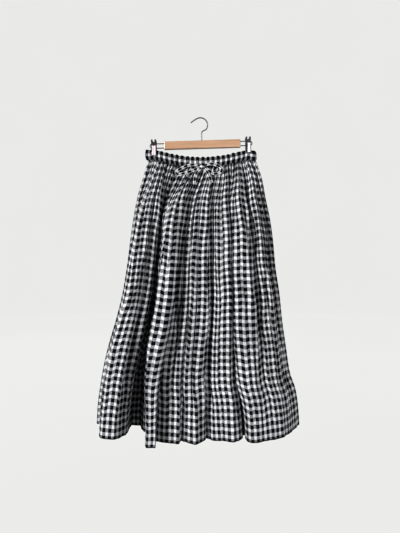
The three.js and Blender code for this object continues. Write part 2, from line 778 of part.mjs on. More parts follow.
// A clip plate: a bent strip with two ears, two pressed ribs and a groove between them
function plateGeometry(facing) {
  let plate = toSolid(pushedAlongX(plateProfile(facing, 0), CLIP_WIDTH));
  const ribWidth = 3;
  const ribPlace = 3.6;
  for (const side of [-1, 1]) {
    const rib = pushedAlongX(plateProfile(facing, RIB_HEIGHT), ribWidth);
    rib.translate(side * ribPlace, 0, 0);
    plate = plate.add(toSolid(rib));
  }
  const notch = new THREE.BoxGeometry(CLIP_WIDTH / 3, 20, 14);
  notch.translate(0, facing * 8, 17.5);
  return toGeometry(plate.subtract(toSolid(notch)));
}

// The saddle between a clip's plates: it slides on both wires of the rail
function saddleGeometry() {
  const depth = 6;
  const height = RAIL_SPACING + RAIL_WIRE + 4;
  let saddle = toSolid(pushedAlongX(roundedRectangle(depth, height, 1.5, 2), CLIP_WIDTH - 5));
  for (const level of [-1, 1]) {
    const hole = cylinder(RAIL_WIRE / 2 + FIT, CLIP_WIDTH, 12, "x");
    hole.translate(0, 0, level * RAIL_SPACING / 2);
    saddle = saddle.subtract(toSolid(hole));
  }
  return toGeometry(saddle);
}

function padGeometry(facing) {
  const pad = new THREE.BoxGeometry(PAD.width, PAD.thickness, PAD.height);
  const gripped = BAND_PINCHED_DEPTH + BAND_WALL / 2 + FIT;
  pad.translate(0, facing * (gripped + PAD.thickness / 2), PAD.bottom + PAD.height / 2);
  return pad;
}

const COTTON = { color: 0x77777a, roughness: 0.9, metalness: 0 };
const TIE_COTTON = { color: 0x4a4a4d, roughness: 0.9, metalness: 0 };
const BEECH = { color: 0xcda078, roughness: 0.5, metalness: 0 };
const WIRE = { color: 0x8d8f92, roughness: 0.28, metalness: 1 };
const CHROME = { color: 0xc6c8cc, roughness: 0.2, metalness: 1 };
const RUBBER = { color: 0xd8c4c8, roughness: 0.7, metalness: 0 };

const front = makePanel(FRONT_LINES, -1);
const back = makePanel(backLines(), 1);

add("front_panel", panelGeometry(front), COTTON);
add("back_panel", panelGeometry(back), COTTON);
add("waistband", waistbandGeometry(), COTTON);
add("bow_knot", knotGeometry(front), TIE_COTTON);
add("bow_loop_left", tieGeometry(front, LEFT_LOOP), TIE_COTTON);
add("bow_loop_right", tieGeometry(front, RIGHT_LOOP), TIE_COTTON);
add("tie_end_left", tieGeometry(front, LEFT_TAIL), TIE_COTTON);
add("tie_end_right", tieGeometry(front, RIGHT_TAIL), TIE_COTTON);

add("hook", hookGeometry(), WIRE);
add("wood_bar", barGeometry(), BEECH, hanger);
for (const [side, clip] of Object.entries(CLIPS)) {
  add(`rail_${side}`, railGeometry(clip), WIRE, hanger);
  const holder = new THREE.Group();
  holder.position.x = clip.x - BAR.x;
  hanger.add(holder);
  add(`clip_${side}_saddle`, saddleGeometry(), CHROME, holder);
  add(`clip_${side}_front_plate`, plateGeometry(-1), CHROME, holder);
  add(`clip_${side}_back_plate`, plateGeometry(1), CHROME, holder);
  add(`clip_${side}_front_pad`, padGeometry(-1), RUBBER, holder);
  add(`clip_${side}_back_pad`, padGeometry(1), RUBBER, holder);
}

export default skirt;
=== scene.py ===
"""A gathered gingham skirt with a drawstring bow, clipped by its waistband to a wooden hanger.

Every shape is a surface worked out with numpy on a grid of two parameters, in millimetres in the
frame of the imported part, and goes into Blender in metres. The cloth follows one section formula:
fold lines run from the waist to the hem, a smooth curve joins them at each height, and gathers,
pleats, lapped folds and small waves stand on that curve.
"""

import logging
import math
from dataclasses import dataclass, field
from enum import Enum
from typing import NamedTuple

import bpy
import numpy as np
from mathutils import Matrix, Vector


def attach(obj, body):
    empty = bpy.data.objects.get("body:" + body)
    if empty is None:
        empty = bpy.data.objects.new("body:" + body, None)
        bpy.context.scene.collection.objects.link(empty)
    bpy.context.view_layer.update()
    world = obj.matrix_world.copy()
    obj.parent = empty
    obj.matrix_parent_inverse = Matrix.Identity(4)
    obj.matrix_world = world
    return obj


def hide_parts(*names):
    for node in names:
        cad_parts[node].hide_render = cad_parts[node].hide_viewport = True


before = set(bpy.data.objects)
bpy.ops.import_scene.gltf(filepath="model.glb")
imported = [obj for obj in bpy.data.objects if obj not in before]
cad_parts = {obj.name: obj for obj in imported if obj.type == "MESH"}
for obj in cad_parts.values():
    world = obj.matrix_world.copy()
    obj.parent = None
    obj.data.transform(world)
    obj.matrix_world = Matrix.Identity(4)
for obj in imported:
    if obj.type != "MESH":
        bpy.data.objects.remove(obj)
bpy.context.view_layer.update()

SKIRT_MIDDLE = (0.0, 0.0, -0.45)
MM = 0.001
CLOTH_UV = "cloth"

Array = np.ndarray
log = logging.getLogger("skirt")


class Facing(Enum):
    """Which way a panel's outer face looks along Y."""

    FRONT = -1
    BACK = 1


class FoldLine(NamedTuple):
    """One fold line of a panel: its place at the hem and how late it opens on the way down."""

    x: float
    y: float
    opens: float


class SideRow(NamedTuple):
    """The two side seams at one share of the drop."""

    drop: float
    left: float
    right: float


class BackFold(NamedTuple):
    """One inward fold of the back: its middle, half width, depth and lean at the hem."""

    x: float
    half_width: float
    depth: float
    lean: float
    opens: float


class Crease(NamedTuple):
    """A soft ridge (or trough, where height is negative) that runs down a panel."""

    cloth: float
    top: float
    bottom: float
    width: float
    height: float
    lean: float


class Pleat(NamedTuple):
    """A hanging fold: a trough down the panel with a lip that stands over one side of it.

    The trough's middle goes from one share of the cloth to another, between two shares of the drop.
    Where overhang is positive the lip is on the trough's right side and leans left over it.
    """

    top_cloth: float
    bottom_cloth: float
    top: float
    bottom: float
    depth: float
    width: float
    overhang: float


class Ledge(NamedTuple):
    """A lapped fold: the cloth steps out at a line down the panel and rounds back towards the next."""

    top_cloth: float
    bottom_cloth: float
    height: float
    hem_height: float


class Ripple(NamedTuple):
    """A set of small upright waves in the cloth: how many, how high and how they drift."""

    waves: float
    height: float
    phase: float
    drift: float
    turns: float


class Lamp(NamedTuple):
    """A square area light: its place, what it looks at and its side in metres, and its watts."""

    name: str
    place: tuple[float, float, float]
    aim: tuple[float, float, float]
    size: float
    power: float
    glossy: bool


class TiePoint(NamedTuple):
    """A point of the bow as seen from the front, lifted off the front panel."""

    x: float
    z: float
    lift: float


SIDE_ROWS = (
    SideRow(0, -156, 167),
    SideRow(0.07, -172, 185),
    SideRow(0.14, -188, 195),
    SideRow(0.22, -200, 208),
    SideRow(0.3, -209, 217),
    SideRow(0.4, -219, 224),
    SideRow(0.5, -232, 236),
    SideRow(0.6, -251, 244),
    SideRow(0.7, -274, 255),
    SideRow(0.8, -292, 267),
    SideRow(0.87, -301, 285),
    SideRow(0.93, -307, 292),
    SideRow(1, -310, 296),
)

FRONT_LINES = (
    FoldLine(-310, 0, 0.75),
    FoldLine(-308, -5, 0.75),
    FoldLine(-295, -9, 0.75),
    FoldLine(-274, -98, 0.7),
    FoldLine(-256, -106, 0.7),
    FoldLine(-237, -104, 0.75),
    FoldLine(-213, -60, 0.8),
    FoldLine(-209, 6, 0.9),
    FoldLine(-183, 6, 0.9),
    FoldLine(-166, -35, 0.8),
    FoldLine(-151, -52, 0.8),
    FoldLine(-141, -144, 0.7),
    FoldLine(-122, -144, 0.7),
    FoldLine(-126, -101, 0.8),
    FoldLine(-98, -108, 0.9),
    FoldLine(-79, -113, 1.15),
    FoldLine(-61, -116, 0.9),
    FoldLine(-54, -94, 0.75),
    FoldLine(-38, -106, 0.7),
    FoldLine(-18, -115, 0.65),
    FoldLine(0, -97, 0.75),
    FoldLine(18, -76, 0.85),
    FoldLine(38, -92, 0.8),
    FoldLine(60, -90, 0.75),
    FoldLine(90, -103, 0.65),
    FoldLine(109, -91, 0.8),
    FoldLine(125, -65, 1),
    FoldLine(132, -104, 0.75),
    FoldLine(147, -116, 0.65),
    FoldLine(179, -106, 0.75),
    FoldLine(205, -100, 1.25),
    FoldLine(226, -92, 0.75),
    FoldLine(249, -70, 0.65),
    FoldLine(272, -41, 0.75),
    FoldLine(289, -14, 0.8),
    FoldLine(295, -6, 0.75),
    FoldLine(296, 0, 0.75),
)

BACK_PLANE = 24.0
BACK_FOLDS = (
    BackFold(-252, 16, 22, 4, 0.8),
    BackFold(-150, 15, 37, -6, 0.7),
    BackFold(-92, 19, 40, 8, 0.9),
    BackFold(-31, 12, 25, -3, 0.65),
    BackFold(26, 18, 41, 7, 0.8),
    BackFold(98, 14, 33, -4, 1.1),
    BackFold(142, 16, 38, -6, 0.7),
    BackFold(208, 17, 36, 5, 0.85),
    BackFold(260, 12, 18, 3, 0.8),
)

FRONT_CREASES = (
    Crease(0.065, 0.25, 0.95, 9, 2.4, 0.01),
    Crease(0.14, 0.35, 1.05, 8, -2.2, -0.008),
    Crease(0.2, 0.05, 0.6, 6, 1.8, 0.0),
    Crease(0.285, 0.3, 0.9, 7, 1.8, 0.006),
    Crease(0.355, 0.1, 0.75, 7, -2.0, 0.004),
    Crease(0.445, 0.2, 0.7, 6, 1.9, -0.004),
    Crease(0.505, 0.35, 1.02, 8, -2.4, 0.006),
    Crease(0.545, 0.15, 0.6, 5, 1.6, 0.0),
    Crease(0.6, 0.3, 0.8, 6, 1.8, -0.005),
    Crease(0.63, 0.0, 1.15, 32, 5.0, 0.0),
    Crease(0.65, 0.12, 0.66, 6, -2.0, 0.004),
    Crease(0.7, 0.45, 1.05, 8, 2.2, 0.0),
    Crease(0.76, 0.1, 0.55, 5, 1.7, 0.003),
    Crease(0.84, 0.3, 0.85, 7, 1.9, 0.012),
    Crease(0.885, 0.42, 1.02, 7, -2.6, 0.014),
    Crease(0.93, 0.2, 0.7, 7, 2.0, 0.006),
)

BACK_CREASES = (
    Crease(0.07, 0.2, 0.85, 8, 2.0, 0.006),
    Crease(0.16, 0.35, 1.02, 8, -2.0, -0.006),
    Crease(0.24, 0.1, 0.6, 6, 1.8, 0.0),
    Crease(0.33, 0.25, 0.8, 7, -1.8, 0.004),
    Crease(0.41, 0.4, 1.05, 8, 2.0, -0.004),
    Crease(0.5, 0.12, 0.62, 6, 1.8, 0.002),
    Crease(0.58, 0.3, 0.9, 7, -2.0, 0.006),
    Crease(0.67, 0.2, 0.7, 6, 1.7, 0.0),
    Crease(0.75, 0.35, 1.0, 8, 2.1, -0.006),
    Crease(0.84, 0.1, 0.55, 6, -1.7, 0.004),
    Crease(0.93, 0.3, 0.9, 7, 2.0, 0.006),
)

FRONT_PLEATS = (
    Pleat(0.055, 0.06, 0.1, 1.05, 7, 8, 2),
    Pleat(0.11, 0.12, 0.0, 0.75, 7, 7, -1.6),
    Pleat(0.155, 0.165, 0.05, 0.98, 10, 10, 2.5),
    Pleat(0.205, 0.21, 0.02, 0.6, 8, 7.5, 2),
    Pleat(0.24, 0.255, 0.15, 1.0, 8, 8, -1.6),
    Pleat(0.278, 0.325, 0.0, 0.95, 22, 17, 2.6),
    Pleat(0.345, 0.37, 0.04, 0.8, 7, 7.5, 2),
    Pleat(0.395, 0.42, 0.0, 0.9, 8, 8, 2),
    Pleat(0.445, 0.525, 0.02, 0.72, 9, 8.5, 2.5),
    Pleat(0.5, 0.475, 0.1, 1.05, 8, 7.5, 2),
    Pleat(0.588, 0.59, 0.04, 1.02, 18, 14, 3),
    Pleat(0.615, 0.625, 0.02, 0.6, 7, 6.5, -1.6),
    Pleat(0.672, 0.655, 0.08, 1.1, 13, 11.5, 3),
    Pleat(0.7, 0.71, 0.0, 0.7, 8, 7, 2),
    Pleat(0.742, 0.765, 0.08, 1.1, 20, 14, 2.8),
    Pleat(0.8, 0.83, 0.05, 0.62, 9, 8, 2.4),
    Pleat(0.84, 0.87, 0.12, 0.7, 8, 8, -1.6),
    Pleat(0.875, 0.92, 0.08, 0.74, 9, 9, 3),
    Pleat(0.925, 0.935, 0.03, 0.6, 7, 7.5, 1.6),
    Pleat(0.962, 0.955, 0.05, 0.72, 9, 9, 2.4),
)

BACK_PLEATS = (
    Pleat(0.07, 0.075, 0.04, 0.8, 8.8, 8.8, -1.6),
    Pleat(0.14, 0.14, 0, 1.05, 12.2, 11.5, 2.6),
    Pleat(0.21, 0.205, 0.08, 0.7, 8.8, 7.7, -1.6),
    Pleat(0.27, 0.275, 0.02, 0.9, 13.5, 11.5, 3),
    Pleat(0.35, 0.345, 0.1, 0.75, 8.8, 7.7, 1.6),
    Pleat(0.42, 0.425, 0, 1.05, 13.5, 11.5, 3),
    Pleat(0.49, 0.49, 0.06, 0.7, 8.8, 7.7, 1.6),
    Pleat(0.56, 0.565, 0.02, 0.85, 13.5, 11.5, 3),
    Pleat(0.63, 0.625, 0.08, 1.05, 8.8, 8.8, -2),
    Pleat(0.7, 0.705, 0, 0.9, 13.5, 11.5, 3),
    Pleat(0.78, 0.78, 0.1, 0.95, 8.8, 8.8, -1.6),
    Pleat(0.86, 0.855, 0.04, 0.95, 13.5, 11.5, 3),
    Pleat(0.93, 0.935, 0.08, 1.05, 8.8, 7.7, 1.6),
)

FRONT_LEDGES = (
    Ledge(0.055, 0.06, 9, 3),
    Ledge(0.155, 0.165, 14, 3),
    Ledge(0.278, 0.325, 20, 3),
    Ledge(0.588, 0.59, 14, 7),
    Ledge(0.672, 0.655, 12, 6),
    Ledge(0.742, 0.765, 15, 2),
    Ledge(0.875, 0.92, 8, 0),
    Ledge(0.962, 0.955, 4, 0),
)

BACK_LEDGES = (
    Ledge(0.055, 0.06, 7, 2),
    Ledge(0.14, 0.14, 11, 5),
    Ledge(0.27, 0.275, 12, 6),
    Ledge(0.42, 0.425, 13, 5),
    Ledge(0.56, 0.565, 11, 4),
    Ledge(0.7, 0.705, 13, 6),
    Ledge(0.86, 0.855, 11, 4),
    Ledge(0.955, 0.96, 6, 1),
)

RIPPLES = (
    Ripple(23, 1.4, 0.4, 1.1, 1.1),
    Ripple(31, 1.5, 2.1, 1.3, 1.7),
    Ripple(43, 1.6, 4.0, 1.2, 2.3),
    Ripple(59, 1.5, 0.9, 1.5, 3.1),
    Ripple(83, 1.1, 5.2, 1.4, 4.3),
    Ripple(107, 0.7, 3.3, 1.6, 5.9),
)

LEFT_LOOP = (
    TiePoint(-2.6, -145, 5),
    TiePoint(-19, -143.5, 5.6),
    TiePoint(-35, -145, 6),
    TiePoint(-50, -151, 5.6),
    TiePoint(-64, -158.5, 4.4),
    TiePoint(-72, -165, 3.2),
    TiePoint(-67, -171, 2.6),
    TiePoint(-55, -170.5, 2.6),
    TiePoint(-40, -168, 2.4),
    TiePoint(-24, -162, 2.1),
    TiePoint(-10, -153.5, 1.9),
    TiePoint(-2.8, -149, 1.7),
)

RIGHT_LOOP = (
    TiePoint(13.6, -145, 5),
    TiePoint(28, -140.5, 5.6),
    TiePoint(42, -142, 5.8),
    TiePoint(55, -147.5, 5),
    TiePoint(63, -155, 4),
    TiePoint(62, -163, 3.2),
    TiePoint(53, -168.5, 2.6),
    TiePoint(40, -169.5, 2.6),
    TiePoint(27, -163, 2.2),
    TiePoint(19, -154.5, 1.9),
    TiePoint(13.9, -149.5, 1.7),
)

LEFT_TAIL = (
    TiePoint(2.4, -152.2, 5),
    TiePoint(-5.5, -160, 5.6),
    TiePoint(-12, -169, 5),
    TiePoint(-15.5, -180, 2.8),
    TiePoint(-17, -191, 2.4),
    TiePoint(-16.5, -204, 2.4),
)

RIGHT_TAIL = (
    TiePoint(8.8, -152.3, 5),
    TiePoint(16, -160, 5.8),
    TiePoint(21.5, -169, 5.4),
    TiePoint(26, -180, 3.2),
    TiePoint(31, -191, 2.8),
    TiePoint(37, -201, 2.4),
)

LAMPS = (
    Lamp("key", (-4.4, -4.0, 1.2), SKIRT_MIDDLE, 0.9, 440, True),
    Lamp("right", (4.0, -3.4, 0.3), SKIRT_MIDDLE, 1.2, 70, True),
    Lamp("fill", (0.8, -1.9, -1.15), (0.08, 0.0, -0.8), 1.1, 13, True),
    Lamp("back_left", (-2.6, 3.6, 1.0), SKIRT_MIDDLE, 1.6, 170, False),
    Lamp("back_right", (3.4, 2.4, 0.6), SKIRT_MIDDLE, 1.6, 100, False),
)


def lerp(low: Array | float, high: Array | float, share: Array | float) -> Array | float:
    """Straight blend from low to high."""
    return low + (high - low) * share


def smoothstep(value: Array, low: float, high: float) -> Array:
    """Soft step from 0 at low to 1 at high."""
    s = np.clip((value - low) / (high - low), 0, 1)
    return s * s * (3 - 2 * s)


def smooth_curve(knots: Array, values: Array, places: Array) -> Array:
    """Cubic curve through the knots that never swings past its values.

    The slope at a knot is the harmonic mean of the two rises beside it, or zero where they differ in
    sign, and each span is the cubic with those slopes at its ends.

    Args:
        knots: Places of the values, growing, shape (K,).
        values: Values at the knots, shape (..., K).
        places: Where the curve is wanted, shape (N,).

    Returns:
        The curve's values, shape (..., N).
    """
    spans = np.diff(knots)
    rises = np.diff(values, axis=-1) / spans
    before, after = rises[..., :-1], rises[..., 1:]
    same_way = before * after > 0
    total = np.where(same_way, before + after, 1.0)
    inner = np.where(same_way, 2 * before * after / total, 0.0)
    slopes = np.concatenate([rises[..., :1], inner, rises[..., -1:]], axis=-1)
    k = np.clip(np.searchsorted(knots, places, side="right") - 1, 0, len(knots) - 2)
    span = spans[k]
    s = np.clip((places - knots[k]) / span, 0, 1)
    from_start = (1 + 2 * s) * (1 - s) ** 2 * values[..., k] + s * (1 - s) ** 2 * span * slopes[..., k]
    from_end = s * s * (3 - 2 * s) * values[..., k + 1] - s * s * (1 - s) * span * slopes[..., k + 1]
    return from_start + from_end


def route(points: Array, steps: int) -> Array:
    """Smooth path through points, as equal steps along it.

    Each span is a cubic whose end slopes come from its neighbours, weighted by the square root of the
    distance between points, and the path is then cut again into equal lengths.

    Args:
        points: Points of the path, shape (P, 3).
        steps: How many points the result has.

    Returns:
        Points along the path, shape (steps, 3).
    """
    wide = np.concatenate([[2 * points[0] - points[1]], points, [2 * points[-1] - points[-2]]])
    gaps = np.sqrt(np.linalg.norm(np.diff(wide, axis=0), axis=1))[:, None]
    p0, p1, p2, p3 = wide[:-3], wide[1:-2], wide[2:-1], wide[3:]
    g0, g1, g2 = gaps[:-2], gaps[1:-1], gaps[2:]
    slope1 = ((p1 - p0) / g0 - (p2 - p0) / (g0 + g1) + (p2 - p1) / g1) * g1
    slope2 = ((p2 - p1) / g1 - (p3 - p1) / (g1 + g2) + (p3 - p2) / g2) * g1
    s = np.linspace(0, 1, 24, endpoint=False)[None, :, None]
    fine = (
        (2 * s**3 - 3 * s**2 + 1) * p1[:, None]
        + (s**3 - 2 * s**2 + s) * slope1[:, None]
        + (3 * s**2 - 2 * s**3) * p2[:, None]
        + (s**3 - s**2) * slope2[:, None]
    ).reshape(-1, 3)
    fine = np.concatenate([fine, points[-1:]])
    lengths = np.concatenate([[0], np.cumsum(np.linalg.norm(np.diff(fine, axis=0), axis=1))])
    wanted = np.linspace(0, lengths[-1], steps)
    return np.stack([np.interp(wanted, lengths, fine[:, axis]) for axis in range(3)], axis=1)


def unit(vectors: Array) -> Array:
    """Vectors scaled to length one."""
    return vectors / np.maximum(np.linalg.norm(vectors, axis=-1, keepdims=True), 1e-12)


def make_object(
    name: str,
    points: Array,
    quads: Array,
    quad_uvs: Array,
    triangles: Array | None = None,
    triangle_uvs: Array | None = None,
    closed: bool = False,
) -> bpy.types.Object:
    """Puts a surface in millimetres into Blender as a smooth mesh in metres with a cloth UV map.

    A closed surface whose signed volume (a sixth of the sum of each triangle's triple product) is
    negative has its faces turned round.

    Args:
        name: The piece's name.
        points: Points in millimetres, shape (V, 3).
        quads: Corners of the four-sided faces, shape (Q, 4).
        quad_uvs: UV at each corner in metres, shape (Q, 4, 2).
        triangles: Corners of the three-sided faces, shape (T, 3).
        triangle_uvs: UV at each corner in metres, shape (T, 3, 2).
        closed: Whether the surface has no open edge.

    Returns:
        The linked object, at the origin.
    """
    if triangles is None:
        triangles = np.zeros((0, 3), int)
        triangle_uvs = np.zeros((0, 3, 2))
    if closed:
        halves = np.concatenate([quads[:, [0, 1, 2]], quads[:, [0, 2, 3]], triangles])
        a, b, c = (points[halves[:, i]] for i in range(3))
        if np.einsum("ij,ij->i", a, np.cross(b, c)).sum() < 0:
            quads, quad_uvs = quads[:, ::-1], quad_uvs[:, ::-1]
            triangles, triangle_uvs = triangles[:, ::-1], triangle_uvs[:, ::-1]
    mesh = bpy.data.meshes.new(name)
    mesh.from_pydata((points * MM).tolist(), [], quads.tolist() + triangles.tolist())
    layer = mesh.uv_layers.new(name=CLOTH_UV)
    flat = np.concatenate([quad_uvs.reshape(-1), triangle_uvs.reshape(-1)])
    layer.data.foreach_set("uv", flat.astype(np.float32))
    mesh.polygons.foreach_set("use_smooth", np.ones(len(mesh.polygons), bool))
    mesh.update()
    piece = bpy.data.objects.new(name, mesh)
    bpy.context.scene.collection.objects.link(piece)
    log.info("%s: %d faces", name, len(mesh.polygons))
    return piece


def grid_surface(
    name: str, grid: Array, uvs: Array, ring: bool = False, inside_out: bool = False
) -> bpy.types.Object:
    """A surface through a grid of points, rows going down and columns going round.

    Args:
        name: The piece's name.
        grid: Points in millimetres, shape (R, C, 3).
        uvs: UV in metres, shape (R, C, 2), or (R, C + 1, 2) where the columns close into a ring.
        ring: Whether the last column joins the first.
        inside_out: Whether the faces are turned to look the other way.

    Returns:
        The linked object.
    """
    rows, columns = grid.shape[:2]
    r, c = np.meshgrid(np.arange(rows - 1), np.arange(columns if ring else columns - 1), indexing="ij")
    corners = ((r, c), (r + 1, c), (r + 1, c + 1), (r, c + 1))
    if inside_out:
        corners = corners[::-1]
    quads = np.stack([row * columns + column % columns for row, column in corners], axis=-1).reshape(-1, 4)
    quad_uvs = np.stack([uvs[row, column] for row, column in corners], axis=-2).reshape(-1, 4, 2)
    return make_object(name, grid.reshape(-1, 3), quads, quad_uvs)


def closed_tube(name: str, rings: Array, uvs: Array) -> bpy.types.Object:
    """A tube through rings of points, closed by a fan round the middle of each end ring.

    Args:
        name: The piece's name.
        rings: Points in millimetres, shape (R, S, 3).
        uvs: UV in metres, shape (R, S + 1, 2).

    Returns:
        The linked object.
    """
    count, sides = rings.shape[:2]
    r, c = np.meshgrid(np.arange(count - 1), np.arange(sides), indexing="ij")
    corners = ((r, c), (r + 1, c), (r + 1, c + 1), (r, c + 1))
    quads = np.stack([row * sides + column % sides for row, column in corners], axis=-1).reshape(-1, 4)
    quad_uvs = np.stack([uvs[row, column] for row, column in corners], axis=-2).reshape(-1, 4, 2)
    points = np.concatenate([rings.reshape(-1, 3), rings[0].mean(0)[None], rings[-1].mean(0)[None]])
    side = np.arange(sides)
    after = (side + 1) % sides
    last = (count - 1) * sides
    start = np.stack([np.full(sides, count * sides), side, after], axis=-1)
    end = np.stack([np.full(sides, count * sides + 1), last + after, last + side], axis=-1)
    start_uvs = np.stack([uvs[0, :sides], uvs[0, :sides], uvs[0, 1:]], axis=-2)
    end_uvs = np.stack([uvs[-1, :sides], uvs[-1, 1:], uvs[-1, :sides]], axis=-2)
    triangles = np.concatenate([start, end])
    triangle_uvs = np.concatenate([start_uvs, end_uvs])
    return make_object(name, points, quads, quad_uvs, triangles, triangle_uvs, closed=True)


class Shader:
    """Builds one material's node tree in reading order."""

    def __init__(self, name: str) -> None:
        """Starts a material with a principled shader and its output.

        Args:
            name: The material's name.
        """
        self.material = bpy.data.materials.new(name)
        self.material.use_nodes = True
        self.tree = self.material.node_tree
        self.tree.nodes.clear()
        self.shader = self.tree.nodes.new("ShaderNodeBsdfPrincipled")
        output = self.tree.nodes.new("ShaderNodeOutputMaterial")
        self.tree.links.new(self.shader.outputs[0], output.inputs["Surface"])

    def put(self, socket: bpy.types.NodeSocket, value: object) -> None:
        """Links a socket to the value where it is a socket, and sets it otherwise.

        Args:
            socket: The input.
            value: A socket, a number, a vector or a colour.
        """
        if isinstance(value, bpy.types.NodeSocket):
            self.tree.links.new(value, socket)
        else:
            socket.default_value = value

    def set(self, name: str, value: object) -> None:
        """Sets or links one input of the principled shader."""
        self.put(self.shader.inputs[name], value)

    def math(self, operation: str, *values: object, clamp: bool = False) -> bpy.types.NodeSocket:
        """A math node.

        Args:
            operation: The node's operation.
            values: Its inputs, sockets or numbers.
            clamp: Whether the result is kept from 0 to 1.

        Returns:
            The result's socket.
        """
        node = self.tree.nodes.new("ShaderNodeMath")
        node.operation = operation
        node.use_clamp = clamp
        for socket, value in zip(node.inputs, values):
            self.put(socket, value)
        return node.outputs[0]

    def step(
        self, value: object, low: float, high: float, start: float = 0.0, end: float = 1.0
    ) -> bpy.types.NodeSocket:
        """A soft step from start at low to end at high.

        Args:
            value: What is stepped.
            low: Where the step starts.
            high: Where it ends.
            start: The result below low.
            end: The result above high.

        Returns:
            The result's socket.
        """
        node = self.tree.nodes.new("ShaderNodeMapRange")
        node.interpolation_type = "SMOOTHSTEP"
        for socket, item in zip(node.inputs, (value, low, high, start, end)):
            self.put(socket, item)
        return node.outputs[0]

    def mix(self, factor: object, first: object, second: object) -> bpy.types.NodeSocket:
        """A blend of two colours.

        Args:
            factor: The share of the second colour.
            first: The first colour.
            second: The second colour.

        Returns:
            The colour's socket.
        """
        node = self.tree.nodes.new("ShaderNodeMix")
        node.data_type = "RGBA"
        self.put(node.inputs[0], factor)
        self.put(node.inputs[6], first)
        self.put(node.inputs[7], second)
        return node.outputs[2]

    def vector(self, *parts: object) -> bpy.types.NodeSocket:
        """A vector put together from three numbers or sockets."""
        node = self.tree.nodes.new("ShaderNodeCombineXYZ")
        for socket, value in zip(node.inputs, parts):
            self.put(socket, value)
        return node.outputs[0]

    def parts(self, vector: bpy.types.NodeSocket) -> list[bpy.types.NodeSocket]:
        """The three parts of a vector."""
        node = self.tree.nodes.new("ShaderNodeSeparateXYZ")
        self.put(node.inputs[0], vector)
        return list(node.outputs)

    def place(self) -> bpy.types.NodeSocket:
        """Object coordinates, in metres."""
        return self.tree.nodes.new("ShaderNodeTexCoord").outputs["Object"]

    def cloth_place(self) -> bpy.types.NodeSocket:
        """The piece's own cloth UV map, in metres of cloth."""
        node = self.tree.nodes.new("ShaderNodeUVMap")
        node.uv_map = CLOTH_UV
        return node.outputs[0]

    def noise(
        self, place: object, scale: float, detail: float = 2.0, roughness: float = 0.5
    ) -> bpy.types.NodeSocket:
        """Smooth noise from 0 to 1.

        Args:
            place: The vector it is read at.
            scale: Its repeats in a metre.
            detail: How many finer layers it has.
            roughness: How strong those are.

        Returns:
            The noise's socket.
        """
        node = self.tree.nodes.new("ShaderNodeTexNoise")
        self.put(node.inputs["Vector"], place)
        node.inputs["Scale"].default_value = scale
        node.inputs["Detail"].default_value = detail
        node.inputs["Roughness"].default_value = roughness
        return node.outputs[0]

    def bump(self, height: object, distance: float, strength: float = 1.0) -> None:
        """Raises the surface's shading by a height.

        Args:
            height: The height, from 0 to 1.
            distance: What a height of one stands for, in metres.
            strength: How much of it is used.
        """
        node = self.tree.nodes.new("ShaderNodeBump")
        node.inputs["Strength"].default_value = strength
        node.inputs["Distance"].default_value = distance
        self.put(node.inputs["Height"], height)
        self.set("Normal", node.outputs[0])


